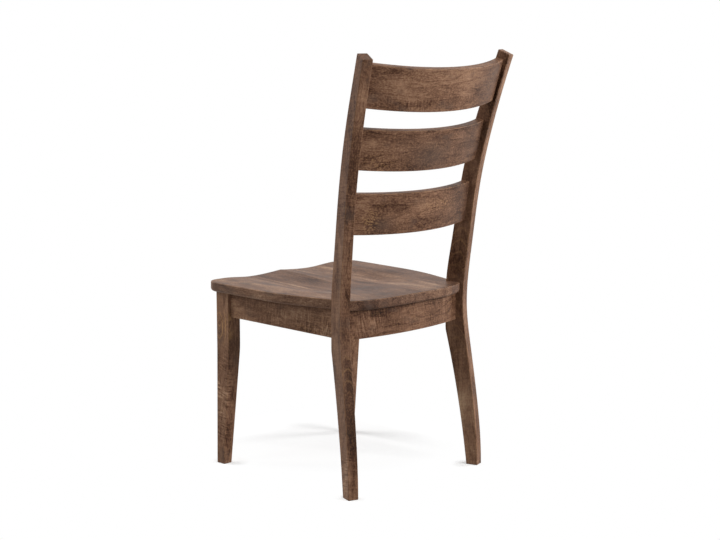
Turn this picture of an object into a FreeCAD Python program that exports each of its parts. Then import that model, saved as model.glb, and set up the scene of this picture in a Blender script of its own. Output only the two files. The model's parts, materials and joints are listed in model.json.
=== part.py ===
# Ladderback side chair with a scooped wooden seat, built up from its separate wooden pieces.
# Millimetres, +Z up. The sitter faces -Y, so the sitter's left is +X.
# While the pieces are made, Y is measured from the joint line: the flat front face of the rear legs
# where the side aprons meet them. At the end the chair is moved so that the origin lies on the floor
# in the middle of its outline.
import FreeCAD, Part
import math
import os

Vector = FreeCAD.Vector
Rotation = FreeCAD.Rotation
Placement = FreeCAD.Placement

# Rear legs, each sawn in one piece with its back post
chair_height = 1013.0        # front top corner of a post
rear_leg_half_span = 202.6   # outer face at the joint line, from the middle of the chair
rear_leg_thickness = 25.5
rear_leg_turn = 18.0         # degrees about the leg's own height, so that it stands square to the slats
foot_setback = 59.0          # front edge of the foot behind the joint line
foot_depth = 29.4
shin_setback = 28.8          # how far the front edge is still back at the shin
shin_share = 0.60            # shin height as a share of the knee's
calf_depth_low = 39.9        # depth of the leg low and high on the calf
calf_depth_high = 48.7
calf_shares = (0.45, 0.90)   # their heights as shares of the knee's
rail_depth = 47.1            # depth of the leg beside the aprons
knee_drop = 27.5             # knee below the rear end of a side apron
post_lean = 130.8            # front top corner behind the joint line
post_lean_shape = ((0.206, 0.108), (0.463, 0.291), (0.720, 0.570))  # shares of rise and of lean
post_depths = (44.9, 41.4, 39.2)                                    # depth of the post at those rises
post_top_depth = 28.7        # front to back corner, measured level
post_top_drop = 13.3         # back top corner below the front one
rear_leg_easing = 1.6        # rounding of its edges

# Front legs
frame_depth = 375.9          # joint line to the front face of the front legs
front_leg_half_span = 226.2  # outer face, from the middle of the chair
front_leg_width = 38.0
front_leg_depth = 43.8
front_foot_width = 24.0
front_foot_depth = 27.0
front_foot_kick = 6.0        # foot stands forward of the leg's top
front_foot_toe_in = 1.3      # foot stands inward of the leg's top
front_knee_drop = 82.0       # taper starts this far below the aprons
front_knee_radius = 500.0
front_leg_easing = 1.6

# Seat
seat_rim_height = 452.3      # rim above the floor at the joint line
seat_rise = 3.0              # rim at the front edge above the rim at the joint line
seat_thickness = 24.0
seat_front_overhang = 18.7   # front edge before the front legs
seat_half_width = 245.0
seat_corner_radius = 34.0
seat_side_shape = ((0.32, 0.03), (0.61, 0.17), (0.80, 0.51))  # shares of side length and of narrowing
seat_rear_bow = 34.1         # rear edge's middle behind its ends
seat_rear_shape = ((0.58, 0.86), (0.82, 0.58))                # shares of half-span and of bow
seat_rear_setback = 36.2     # rear edge's ends on the rear legs' inner faces
seat_bite = 4.0              # how far the seat's outline runs into the rear legs, before it is notched
seat_top_easing = 2.5
seat_bottom_easing = 8.0
seat_joints = (-136.0, -30.0, 117.0)  # glue lines between the boards
scoop_front_depth = 5.4
scoop_depth = 11.0
scoop_deepest = 0.55         # where the scoop is deepest, as a share of its length from the front
scoop_half_width = 190.0
scoop_rear_margin = 48.0     # flat rim behind the scoop
scoop_rear_narrowing = 0.35  # how much narrower the scoop is where it ends
pommel_fade = 0.90           # share of the depth that the middle has lost where the scoop is deepest

# Aprons
apron_thickness = 19.0
apron_recess = 8.6           # front and side aprons behind the front legs' outer faces
apron_rear_recess = 6.0      # side apron behind the rear leg's outer face
side_apron_height_rear = 66.8
side_apron_height_front = 61.3
front_apron_height = 61.3
rear_apron_height = 69.5
rear_apron_radius = 740.0    # its back face
rear_apron_setback = 27.3    # its back face on the rear legs' inner faces
apron_easing = 1.2

# Back slats, all bent on one form
slat_radius = 480.0          # hollow front face
slat_thickness = 19.0
slat_setback = 5.2           # front face behind the posts' front edge
slat_easing = 2.0
slat_names = ("slat_top", "slat_middle", "slat_bottom")
slat_drops = (67.0, 209.2, 359.3)   # middle of each slat below the top of the chair
slat_heights = (100.5, 95.5, 95.5)
tenon_thickness = 9.5
tenon_length = 16.0
tenon_shoulder = 11.0        # above and below each tenon
mortise_clearance = 0.12     # glue space round a tenon
mortise_relief = 1.0         # mortise deeper than its tenon

# Dowels, two at each end of each apron
dowel_diameter = 8.0
dowel_in_leg = 14.0
dowel_in_apron = 18.0
dowel_clearance = 0.06       # glue space round a dowel
dowel_relief = 1.0           # hole deeper than the dowel
dowel_chamfer = 0.8
dowel_spacing = 24.0
side_dowel_line = 8.0        # from the side apron's outer face
side_dowel_low = 12.5        # lower dowel above the bottom of its apron
cross_dowel_low = 27.0       # the same in the front and rear aprons, clear of the side aprons' dowels

# Corner blocks and their screws
block_height = 38.0
block_face = 48.0            # length glued to each apron
block_clear = 20.0           # from the corner leg to the block along each apron
screw_diameter = 4.0
screw_head_diameter = 8.0
screw_head_height = 2.6
screw_tip = 3.0
screw_clearance = 0.08
block_screw_length = 30.0
block_screw_wood = 16.0      # block left under a screw's head
seat_screw_length = 44.0
seat_screw_recess = 6.0      # head above the bottom of the block
counterbore_clearance = 0.6
drive_size = 2.6             # square recess in a screw's head
drive_depth = 1.5

# Fits between neighbours that aren't glued face to face
seat_notch_clearance = 0.3

# Helper sizes for cutting shapes
reach = 700.0                # larger than the chair
tall = 1400.0
tenon_root = 4.0             # tenon runs this far into its slat, so that the two join
board_half_angle = 38.0      # degrees of arc that a bent board is cut from
scoop_column_count = 14      # points of the scooped top across half of the seat
scoop_row_count = 16         # and from front to back
scoop_margin = 20.0          # scooped top runs this far past the seat
halving_count = 60           # steps of a search on a curve
crumb = 1.0                  # heights and places closer than this count as the same

seat_front = -frame_depth - seat_front_overhang
seat_tilt = math.atan2(seat_rise, -seat_front)
underside_height = seat_rim_height - seat_thickness
knee_height = underside_height - side_apron_height_rear - knee_drop
post_rise = chair_height - underside_height


def underside_at(y):
    """Height of the seat's underside at a place from front to back."""
    return underside_height - y * math.tan(seat_tilt)


def leg_place():
    """Placement that carries a shape from the left rear leg's own frame to the chair.

    In the leg's frame X is setback behind the joint line, Y is distance inward from the outer face.
    """
    return Placement(Vector(rear_leg_half_span, 0, 0), Rotation(Vector(0, 0, 1), 90.0 - rear_leg_turn))


def leg_point(setback, inward, height=0.0):
    """A point given in the left rear leg's own frame."""
    return leg_place().multVec(Vector(setback, inward, height))


def mirrored(shape):
    """The same piece on the chair's other side."""
    return shape.mirror(Vector(0, 0, 0), Vector(1, 0, 0))


def both_sides(shapes):
    """Left-hand shapes with their right-hand twins."""
    return shapes + [mirrored(shape) for shape in shapes]


def prism(points, height, low=0.0):
    """Upright solid over a closed outline given in plan."""
    corners = [Vector(x, y, low) for x, y in points]
    face = Part.Face(Part.makePolygon(corners + corners[:1]))
    return face.extrude(Vector(0, 0, height))


def side_prism(points, half_width):
    """Solid across the chair over a closed outline given as front-to-back place and height."""
    corners = [Vector(-half_width, y, z) for y, z in points]
    face = Part.Face(Part.makePolygon(corners + corners[:1]))
    return face.extrude(Vector(2 * half_width, 0, 0))


def spline(points, start=None, end=None):
    """Smooth curve through points, with end directions where both are given."""
    curve = Part.BSplineCurve()
    if start and end:
        curve.interpolate(Points=points, InitialTangent=start, FinalTangent=end)
    else:
        curve.interpolate(Points=points)
    return curve


def setback_on(curve, height):
    """Setback of a leg's outline curve at a height, for a curve that climbs or falls all the way."""
    low, high = curve.FirstParameter, curve.LastParameter
    climbs = curve.value(high).z > curve.value(low).z
    for _ in range(halving_count):
        middle = (low + high) / 2
        if (curve.value(middle).z < height) == climbs:
            low = middle
        else:
            high = middle
    return curve.value(low).x


def largest_solid(shape):
    """The main body of a cut, without crumbs."""
    return max(shape.Solids, key=lambda solid: solid.Volume)


def eased(shape, radius, picks):
    """Round the edges of a shape that a test picks."""
    edges = [edge for edge in shape.Edges if picks(edge)]
    return shape.makeFillet(radius, edges)


def rear_leg_curves(grow=0.0):
    """Outline curves of a rear leg, in its own frame: lower front, upper front and whole back edge."""
    low_front = spline([
        Vector(foot_setback - grow, 0, 0),
        Vector(shin_setback - grow, 0, shin_share * knee_height),
        Vector(-grow, 0, knee_height),
    ])
    rises = [Vector(-grow, 0, underside_height)]
    for rise, lean in post_lean_shape:
        rises.append(Vector(lean * post_lean - grow, 0, underside_height + rise * post_rise))
    rises.append(Vector(post_lean - grow, 0, chair_height))
    high_front = spline(rises, Vector(0, 0, 1), rises[-1] - rises[-2])

    back = [Vector(foot_setback + foot_depth + grow, 0, 0)]
    for share, depth in zip(calf_shares, (calf_depth_low, calf_depth_high)):
        height = share * knee_height
        back.append(Vector(setback_on(low_front, height) + depth + 2 * grow, 0, height))
    back.append(Vector(rail_depth + grow, 0, (knee_height + underside_height) / 2))
    for (rise, lean), depth in zip(post_lean_shape, post_depths):
        back.append(Vector(lean * post_lean + depth + grow, 0, underside_height + rise * post_rise))
    back.append(Vector(post_lean + post_top_depth + grow, 0, chair_height - post_top_drop))
    return low_front, high_front, spline(back)


def rear_leg_blank(grow=0.0):
    """A rear leg in its own frame before joinery, or one grown all round as a cutting shape."""
    low_front, high_front, back = rear_leg_curves(grow)
    flat_low = Vector(-grow, 0, knee_height)
    flat_high = Vector(-grow, 0, underside_height)
    top_front = high_front.value(high_front.LastParameter)
    top_back = back.value(back.LastParameter)
    toe = low_front.value(low_front.FirstParameter)
    heel = back.value(back.FirstParameter)
    outline = Part.Wire([
        low_front.toShape(),
        Part.LineSegment(flat_low, flat_high).toShape(),
        high_front.toShape(),
        Part.LineSegment(top_front, top_back).toShape(),
        back.toShape(),
        Part.LineSegment(heel, toe).toShape(),
    ])
    outline.translate(Vector(0, -grow, 0))
    return Part.Face(outline).extrude(Vector(0, rear_leg_thickness + 2 * grow, 0))


class SlatSeat:
    """Where one back slat meets the left post: heights, lean and places in the leg's own frame."""

    def __init__(self, drop, height, high_front, back):
        self.height = height
        self.middle = chair_height - drop
        half = height / 2
        lean = setback_on(back, self.middle + half) - setback_on(back, self.middle - half)
        self.rake = math.atan2(lean, height)
        self.front = setback_on(high_front, self.middle) + slat_setback
        self.centre = self.front + slat_thickness / math.cos(self.rake) / 2

    def tenon(self, clearance=0.0, deeper=0.0):
        """The tenon, or with clearances its mortise, in the leg's own frame."""
        thickness = tenon_thickness + 2 * clearance
        height = self.height - 2 * tenon_shoulder + 2 * clearance
        depth = tenon_length + deeper
        corner = Vector(-thickness / 2, -depth, -height / 2)
        box = Part.makeBox(thickness, depth + tenon_root, height, corner)
        box.rotate(Vector(0, 0, 0), Vector(0, 1, 0), math.degrees(self.rake))
        box.translate(Vector(self.centre, rear_leg_thickness, self.middle))
        return box


def slat_seats():
    """The seats of the three slats on the posts."""
    _, high_front, back = rear_leg_curves()
    return [SlatSeat(drop, height, high_front, back) for drop, height in zip(slat_drops, slat_heights)]


def between_rear_legs():
    """The space between the inner faces of the rear legs."""
    near = leg_point(-frame_depth / 2, rear_leg_thickness)
    far = leg_point(reach, rear_leg_thickness)
    return prism([(near.x, near.y), (far.x, far.y), (-far.x, far.y), (-near.x, near.y)], tall)


def bent_board(radius, thickness, height):
    """A board bent round a form, hollow to the front, middle at height 0, the form's axis at the origin."""
    low = Vector(0, 0, -height / 2)
    up = Vector(0, 0, 1)
    outer = Part.makeCylinder(radius + thickness, height, low, up, 2 * board_half_angle)
    board = outer.cut(Part.makeCylinder(radius, height, low))
    board.rotate(Vector(0, 0, 0), up, 90.0 - board_half_angle)
    return board


def is_arc_edge(edge):
    """Whether an edge is a long arc of a bent board."""
    return edge.Curve.TypeId == "Part::GeomCircle"


def slat(seat):
    """A back slat with its two tenons."""
    board = eased(bent_board(slat_radius, slat_thickness, seat.height), slat_easing, is_arc_edge)
    end = leg_point(seat.front, rear_leg_thickness, seat.middle)
    tilt = Rotation(Vector(1, 0, 0), -math.degrees(seat.rake))
    end_on_form = Vector(end.x, math.sqrt(slat_radius ** 2 - end.x ** 2), 0)
    board.Placement = Placement(end - tilt.multVec(end_on_form), tilt)
    board = board.common(between_rear_legs())
    tenon = seat.tenon()
    tenon.Placement = leg_place().multiply(tenon.Placement)
    return largest_solid(board.fuse([tenon, mirrored(tenon)]).removeSplitter())


def seat_space():
    """Everything above the seat's underside, as a cutting shape."""
    box = Part.makeBox(2 * reach, 2 * reach, tall, Vector(-reach, -reach, 0))
    box.rotate(Vector(0, 0, 0), Vector(1, 0, 0), -math.degrees(seat_tilt))
    box.translate(Vector(0, 0, underside_height))
    return box


def rear_apron_axis():
    """Place of the axis that the rear apron is bent round."""
    end = leg_point(rear_apron_setback, rear_leg_thickness)
    return end.y - math.sqrt(rear_apron_radius ** 2 - end.x ** 2)


def apron_rear():
    """The bent rear apron."""
    low = underside_height - rear_apron_height
    board = bent_board(rear_apron_radius - apron_thickness, apron_thickness, tall - low)
    board.translate(Vector(0, rear_apron_axis(), low + (tall - low) / 2))
    board = board.common(between_rear_legs()).cut(seat_space())
    return eased(board, apron_easing, lambda edge: is_arc_edge(edge) and edge.BoundBox.ZMax < low + crumb)


def meeting(start, direction, through, across):
    """Where a level line meets another, each given by a point and a direction."""
    gap = start - through
    turned = direction.y * across.x - direction.x * across.y
    return start + direction * ((gap.x * across.y - gap.y * across.x) / turned)


class SideApronLine:
    """Outer face of the left side apron in plan, with what lies at a distance inside it."""

    def __init__(self):
        leg_back = -frame_depth + front_leg_depth
        self.front = Vector(front_leg_half_span - apron_recess, leg_back, 0)
        self.rear = leg_point(0, apron_rear_recess)
        self.along = (self.rear - self.front).normalize()
        self.inward = Vector(-self.along.y, self.along.x, 0)

    def on_front_leg(self, depth):
        """Where the line at a depth inside the outer face meets the front leg."""
        return self.at(depth, self.front.y)

    def on_rear_leg(self, depth):
        """Where the line at a depth inside the outer face meets the rear leg."""
        across = leg_point(0, rear_leg_thickness) - leg_point(0, 0)
        return meeting(self.rear + self.inward * depth, self.along, leg_point(0, 0), across)

    def at(self, depth, y):
        """The point at a depth inside the outer face, at a place from front to back."""
        return meeting(self.front + self.inward * depth, self.along, Vector(0, y, 0), Vector(1, 0, 0))


def apron_left():
    """The straight left side apron, lower edge rising to the front."""
    line = SideApronLine()
    corners = [line.front, line.rear, line.on_rear_leg(apron_thickness), line.on_front_leg(apron_thickness)]
    board = prism([(corner.x, corner.y) for corner in corners], tall)
    front_low = underside_at(line.front.y) - side_apron_height_front
    rear_low = underside_height - side_apron_height_rear
    climb = (front_low - rear_low) / line.front.y
    outline = [
        (-reach, rear_low - climb * reach),
        (reach, rear_low + climb * reach),
        (reach, tall),
        (-reach, tall),
    ]
    board = board.common(side_prism(outline, reach)).cut(seat_space())
    middle = underside_height - side_apron_height_rear / 2
    long_edge = frame_depth / 2
    return eased(board, apron_easing, lambda edge: edge.Length > long_edge and edge.CenterOfMass.z < middle)


def apron_front():
    """The straight front apron between the front legs."""
    half = front_leg_half_span - front_leg_width
    face = -frame_depth + apron_recess
    low = underside_at(face) - front_apron_height
    board = Part.makeBox(2 * half, apron_thickness, tall, Vector(-half, face, low)).cut(seat_space())
    return eased(board, apron_easing, lambda edge: edge.Length > half and edge.CenterOfMass.z < low + crumb)


def softened(points, radius):
    """Closed wire through points, where every corner given with a true mark is rounded by an arc."""
    edges = []
    places = [Vector(*place) for place, _ in points]
    starts = []
    ends = []
    for index, (_, is_soft) in enumerate(points):
        corner = places[index]
        before = (corner - places[index - 1]).normalize()
        after = (places[(index + 1) % len(points)] - corner).normalize()
        if not is_soft:
            starts.append(corner)
            ends.append(corner)
            continue
        half_bend = before.getAngle(after) / 2
        cut_back = radius * math.tan(half_bend)
        sagitta = radius / math.cos(half_bend) - radius
        starts.append(corner - before * cut_back)
        ends.append(corner + after * cut_back)
        middle = corner + (after - before).normalize() * sagitta
        edges.append(Part.Arc(starts[-1], middle, ends[-1]).toShape())
    for index in range(len(points)):
        edges.append(Part.LineSegment(ends[index - 1], starts[index]).toShape())
    return Part.Wire(Part.sortEdges(edges)[0])


def front_leg():
    """The left front leg before joinery: sawn to a tapered outline on two faces."""
    knee = underside_at(-frame_depth) - side_apron_height_front - front_knee_drop
    outer, inner = front_leg_half_span, front_leg_half_span - front_leg_width
    toe_outer = outer - front_foot_toe_in
    high_outer = toe_outer + front_foot_toe_in * tall / underside_height
    from_front = softened([
        ((toe_outer, -reach, 0), False),
        ((high_outer, -reach, tall), False),
        ((inner, -reach, tall), False),
        ((inner, -reach, knee), True),
        ((toe_outer - front_foot_width, -reach, 0), False),
    ], front_knee_radius)
    front, back = -frame_depth, -frame_depth + front_leg_depth
    toe = front - front_foot_kick
    from_side = softened([
        ((-reach, toe, 0), False),
        ((-reach, toe + front_foot_depth, 0), False),
        ((-reach, back, knee), True),
        ((-reach, back, tall), False),
        ((-reach, front, tall), False),
        ((-reach, front, knee), True),
    ], front_knee_radius)
    leg = Part.Face(from_front).extrude(Vector(0, 2 * reach, 0))
    leg = leg.common(Part.Face(from_side).extrude(Vector(2 * reach, 0, 0))).cut(seat_space())
    under_seat = underside_height - crumb
    return eased(leg, front_leg_easing, lambda edge: edge.BoundBox.ZMin < under_seat)


def seat_outline():
    """Closed plan outline of the seat, run a little way into the rear legs."""
    side_front = Vector(seat_half_width, seat_front + seat_corner_radius, 0)
    side_rear = leg_point(seat_bite, seat_bite)
    length = side_rear.y - side_front.y
    narrowing = seat_half_width - side_rear.x
    side = [side_front]
    for along, inset in seat_side_shape:
        side.append(Vector(seat_half_width - inset * narrowing, side_front.y + along * length, 0))
    side.append(side_rear)
    left_side = spline(side, Vector(0, 1, 0), side[-1] - side[-2]).toShape()

    rear_end = leg_point(seat_rear_setback, rear_leg_thickness - seat_bite)
    rear_face = leg_point(seat_rear_setback, rear_leg_thickness)
    rear = []
    for share, bow in seat_rear_shape[::-1]:
        rear.append(Vector(share * rear_face.x, rear_face.y + bow * seat_rear_bow, 0))
    middle = Vector(0, rear_face.y + seat_rear_bow, 0)
    left_half = [rear_end] + rear
    right_half = [Vector(-point.x, point.y, 0) for point in left_half[::-1]]
    rear_edge = spline(left_half + [middle] + right_half).toShape()

    radius = seat_corner_radius
    slant = radius * math.sqrt(0.5)
    corner_start = Vector(seat_half_width - radius, seat_front, 0)
    corner_middle = Vector(corner_start.x + slant, side_front.y - slant, 0)
    corner = Part.Arc(corner_start, corner_middle, side_front).toShape()
    front_edge = Part.LineSegment(Vector(-corner_start.x, seat_front, 0), corner_start).toShape()
    notch = Part.LineSegment(side_rear, rear_end).toShape()
    edges = [front_edge, rear_edge] + both_sides([corner, left_side, notch])
    return Part.Wire(Part.sortEdges(edges)[0])


def smooth_step(share):
    """Climb from 0 to 1 that starts and ends level."""
    share = min(max(share, 0.0), 1.0)
    return share * share * (3 - 2 * share)


def seat_top_at(x, y):
    """Height of the seat's scooped top."""
    rim = underside_at(y) + seat_thickness
    rear = leg_point(seat_rear_setback, rear_leg_thickness).y + seat_rear_bow - scoop_rear_margin
    along = (y - seat_front) / (rear - seat_front)
    if along >= 1:
        return rim
    if along < scoop_deepest:
        deepening = smooth_step(along / scoop_deepest)
        depth = scoop_front_depth + (scoop_depth - scoop_front_depth) * deepening
    else:
        depth = scoop_depth * (1 - smooth_step((along - scoop_deepest) / (1 - scoop_deepest)))
    narrowing = scoop_rear_narrowing * smooth_step((along - scoop_deepest) / (1 - scoop_deepest))
    half_width = scoop_half_width * (1 - narrowing)
    fade = pommel_fade * smooth_step(along / scoop_deepest)
    across = min(abs(x) / half_width, 1.0)
    if across < 0.5:
        share = fade + (1 - fade) * math.sin(math.pi * across)
    else:
        share = (1 - math.cos(2 * math.pi * across)) / 2
    return rim - depth * share


def below_seat_top():
    """Everything under the scooped top, in two cutting shapes that meet at the pommel's ridge."""
    columns, rows = scoop_column_count, scoop_row_count
    width = seat_half_width + scoop_margin
    front = seat_front - scoop_margin
    rear = leg_point(seat_rear_setback, rear_leg_thickness).y + seat_rear_bow + scoop_margin
    halves = []
    for side in (1, -1):
        grid = []
        for i in range(columns):
            x = side * width * i / (columns - 1)
            line = []
            for j in range(rows):
                y = front + (rear - front) * j / (rows - 1)
                line.append(Vector(x, y, seat_top_at(x, max(y, seat_front))))
            grid.append(line)
        surface = Part.BSplineSurface()
        surface.interpolate(grid)
        halves.append(surface.toShape().extrude(Vector(0, 0, -underside_height / 2)))
    return halves


def is_outer_rim(edge):
    """Whether an edge of the seat lies on its outline, away from the rear legs."""
    middle = edge.CenterOfMass
    upright = edge.BoundBox.ZLength > seat_thickness / 2 and edge.Length < 2 * seat_thickness
    ridge = abs(middle.x) < crumb and edge.BoundBox.YLength > seat_half_width
    beside_leg = abs(middle.x) > leg_point(0, rear_leg_thickness).x
    in_leg = beside_leg and 0 < middle.y < seat_rear_setback + seat_bite
    return not (upright or ridge or in_leg)


def seat_blank():
    """The whole seat, scooped, eased and notched round the rear legs."""
    face = Part.Face(seat_outline())
    face.translate(Vector(0, 0, underside_height / 2))
    slab = face.extrude(Vector(0, 0, underside_height)).common(seat_space())
    left, right = below_seat_top()
    seat = slab.common(left.fuse(right))

    def is_bottom(edge):
        return is_outer_rim(edge) and edge.CenterOfMass.z < underside_at(edge.CenterOfMass.y) + crumb

    def is_top(edge):
        middle = edge.CenterOfMass
        return is_outer_rim(edge) and middle.z > underside_at(middle.y) + seat_thickness / 2

    seat = eased(seat, seat_bottom_easing, is_bottom)
    seat = eased(seat, seat_top_easing, is_top)
    leg = rear_leg_blank(seat_notch_clearance)
    leg.Placement = leg_place()
    return seat.cut([leg, mirrored(leg)])


def seat_boards(seat):
    """The seat cut along its glue lines, from the sitter's right to the left."""
    bounds = (-reach,) + seat_joints + (reach,)
    boards = []
    for low, high in zip(bounds, bounds[1:]):
        box = Part.makeBox(high - low, 2 * reach, tall, Vector(low, -reach, 0))
        boards.append(largest_solid(seat.common(box)))
    return boards


class Peg:
    """A round piece on a line: a dowel or the shank of a screw."""

    def __init__(self, start, direction):
        self.start = start
        self.direction = direction.normalize()

    def cylinder(self, diameter, begin, end):
        """A cylinder along the line between two distances from its start."""
        base = self.start + self.direction * begin
        return Part.makeCylinder(diameter / 2, end - begin, base, self.direction)

    def cone(self, first, second, begin, end):
        """A cone along the line with two diameters."""
        base = self.start + self.direction * begin
        return Part.makeCone(first / 2, second / 2, end - begin, base, self.direction)


class Dowel(Peg):
    """A glued dowel that starts at a joint's face and points from the leg into the apron."""

    def solid(self):
        """The dowel itself, chamfered at both ends."""
        narrow = dowel_diameter - 2 * dowel_chamfer
        low = dowel_chamfer - dowel_in_leg
        high = dowel_in_apron - dowel_chamfer
        body = self.cylinder(dowel_diameter, low, high)
        low_end = self.cone(narrow, dowel_diameter, -dowel_in_leg, low)
        high_end = self.cone(dowel_diameter, narrow, high, dowel_in_apron)
        return body.fuse([low_end, high_end]).removeSplitter()

    def holes(self):
        """The hole that it is glued into, through the leg and the apron."""
        diameter = dowel_diameter + 2 * dowel_clearance
        return [self.cylinder(diameter, -dowel_in_leg - dowel_relief, dowel_in_apron + dowel_relief)]


class Screw(Peg):
    """A countersunk wood screw that starts at the top of its head."""

    def __init__(self, start, direction, length):
        super().__init__(start, direction)
        self.length = length

    def solid(self):
        """The screw, with a square recess in its head."""
        head = self.cone(screw_head_diameter, screw_diameter, 0, screw_head_height)
        shank = self.cylinder(screw_diameter, screw_head_height, self.length - screw_tip)
        tip = self.cone(screw_diameter, 0, self.length - screw_tip, self.length)
        corner = Vector(-drive_size / 2, -drive_size / 2, 0)
        drive = Part.makeBox(drive_size, drive_size, drive_depth, corner)
        onto = Placement(self.start, Rotation(Vector(0, 0, 1), self.direction))
        drive.Placement = onto.multiply(drive.Placement)
        return head.fuse([shank, tip]).removeSplitter().cut(drive)

    def hole(self, access):
        """Its pilot hole and countersink, with a counterbore that runs back to open air."""
        wide = 2 * screw_clearance
        head = self.cone(screw_head_diameter + wide, screw_diameter + wide, 0, screw_head_height)
        shank = self.cylinder(screw_diameter + wide, 0, self.length + screw_tip)
        bore = self.cylinder(screw_head_diameter + wide + counterbore_clearance, -access, 0)
        return head.fuse([shank, bore])


def upright_pair(foot, direction, low):
    """Two dowels one above the other in a joint."""
    heights = (low, low + dowel_spacing)
    return [Dowel(Vector(foot.x, foot.y, height), Vector(direction)) for height in heights]


def side_apron_dowels():
    """The left side apron's dowels, into the front leg and into the rear leg."""
    line = SideApronLine()
    front_low = underside_at(line.front.y) - side_apron_height_front + side_dowel_low
    rear_low = underside_height - side_apron_height_rear + side_dowel_low
    at_front = upright_pair(line.on_front_leg(side_dowel_line), line.along, front_low)
    at_rear = upright_pair(line.on_rear_leg(side_dowel_line), line.along * -1, rear_low)
    return at_front, at_rear


def rear_apron_dowels():
    """The rear apron's dowels into the left rear leg."""
    foot = leg_point(rear_apron_setback - apron_thickness / 2, rear_leg_thickness)
    inward = leg_point(0, rear_leg_thickness) - leg_point(0, 0)
    return upright_pair(foot, inward, underside_height - rear_apron_height + cross_dowel_low)


def front_apron_dowels():
    """The front apron's dowels into the left front leg."""
    face = -frame_depth + apron_recess
    foot = Vector(front_leg_half_span - front_leg_width, face + apron_thickness / 2, 0)
    return upright_pair(foot, Vector(-1, 0, 0), underside_at(face) - front_apron_height + cross_dowel_low)


def block_outline(on_cross, on_side, cross_depth, side_depth):
    """Plan of a left corner block: near and far places on the cross apron and on the side apron.

    The two depths run the outline into the aprons, which then trim it to fit.
    """
    near_cross, far_cross = on_cross
    near_side, far_side = on_side
    return [
        (far_cross.x, far_cross.y + cross_depth),
        (far_cross.x, far_cross.y),
        (far_side.x, far_side.y),
        (far_side.x + side_depth, far_side.y),
        (near_side.x + side_depth, near_side.y),
        (near_side.x, near_side.y),
        (near_cross.x, near_cross.y),
        (near_cross.x, near_cross.y + cross_depth),
    ]


class CornerBlock:
    """A glue block in a left corner of the frame, with its three screws."""

    def __init__(self, on_cross, on_side, toward_rear):
        self.on_cross = on_cross
        self.on_side = on_side
        self.toward_rear = toward_rear
        corners = on_cross + on_side
        self.x = sum(point.x for point in corners) / len(corners)
        self.y = sum(point.y for point in corners) / len(corners)

    def low(self):
        """Height of the block's underside at its middle."""
        return underside_at(self.y) - block_height

    def solid(self, aprons):
        """The block, trimmed to its two aprons and the seat, and drilled."""
        depth = apron_thickness / 2
        cross_depth = depth if self.toward_rear else -depth
        outline = block_outline(self.on_cross, self.on_side, cross_depth, depth)
        block = prism(outline, tall, self.low()).cut([seat_space()] + aprons)
        return drilled(block, [self])

    def apron_screws(self):
        """The screws through the block into its two aprons."""
        height = self.low() + block_height / 2
        near, far = self.on_cross
        cross_face = (near + far) / 2
        toward = 1 if self.toward_rear else -1
        cross_start = Vector(cross_face.x, cross_face.y - toward * block_screw_wood, height)
        near, far = self.on_side
        side_face = (near + far) / 2
        side_start = Vector(side_face.x - block_screw_wood, side_face.y, height)
        return [
            Screw(cross_start, Vector(0, toward, 0), block_screw_length),
            Screw(side_start, Vector(1, 0, 0), block_screw_length),
        ]

    def seat_screw(self):
        """The screw up through the block into the seat."""
        start = Vector(self.x, self.y, self.low() + seat_screw_recess)
        return Screw(start, Vector(0, 0, 1), seat_screw_length)

    def holes(self):
        """All the holes for its screws."""
        access = 2 * block_face
        holes = [screw.hole(access) for screw in self.apron_screws()]
        return holes + [self.seat_screw().hole(block_height)]


def front_corner_block():
    """The left corner block between the front apron and the side apron."""
    line = SideApronLine()
    leg_inner = front_leg_half_span - front_leg_width
    front_face = -frame_depth + apron_recess + apron_thickness
    lengths = (block_clear, block_clear + block_face)
    on_cross = [Vector(leg_inner - length, front_face, 0) for length in lengths]
    on_side = [line.at(apron_thickness, line.front.y + length) for length in lengths]
    return CornerBlock(on_cross, on_side, False)


def rear_corner_block():
    """The left corner block between the rear apron and the side apron."""
    line = SideApronLine()
    radius = rear_apron_radius - apron_thickness
    lengths = (block_clear, block_clear + block_face)
    on_cross = []
    for length in lengths:
        x = leg_point(0, rear_leg_thickness).x - length
        on_cross.append(Vector(x, rear_apron_axis() + math.sqrt(radius ** 2 - x ** 2), 0))
    rear_end = line.on_rear_leg(apron_thickness).y
    on_side = [line.at(apron_thickness, rear_end - length) for length in lengths]
    return CornerBlock(on_cross, on_side, True)


def rear_leg(seats, dowels):
    """The left rear leg with its mortises and dowel holes, in place."""
    leg = eased(rear_leg_blank(), rear_leg_easing, lambda edge: True)
    leg = leg.cut([seat.tenon(mortise_clearance, mortise_relief) for seat in seats])
    leg.Placement = leg_place()
    return drilled(leg, dowels)


def holes_of(fixings):
    """The holes for dowels and for corner blocks' screws."""
    return [hole for fixing in fixings for hole in fixing.holes()]


def drilled(piece, fixings):
    """A piece on the left, or a corner block itself, with its holes."""
    return largest_solid(piece.cut(holes_of(fixings)))


class Frame:
    """What joins the left half of the chair's frame: dowels and corner blocks."""

    def __init__(self):
        self.side_front, self.side_rear = side_apron_dowels()
        self.rear_cross = rear_apron_dowels()
        self.front_cross = front_apron_dowels()
        self.front_block = front_corner_block()
        self.rear_block = rear_corner_block()
        self.blocks = [self.front_block, self.rear_block]


def as_pair(name, shape):
    """A left-hand piece and its right-hand twin, by name."""
    return {f"{name}_left": shape, f"{name}_right": mirrored(shape)}


def leg_pieces(frame, seats):
    """The four legs."""
    pieces = as_pair("rear_leg", rear_leg(seats, frame.side_rear + frame.rear_cross))
    pieces.update(as_pair("front_leg", drilled(front_leg(), frame.side_front + frame.front_cross)))
    return pieces


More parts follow.
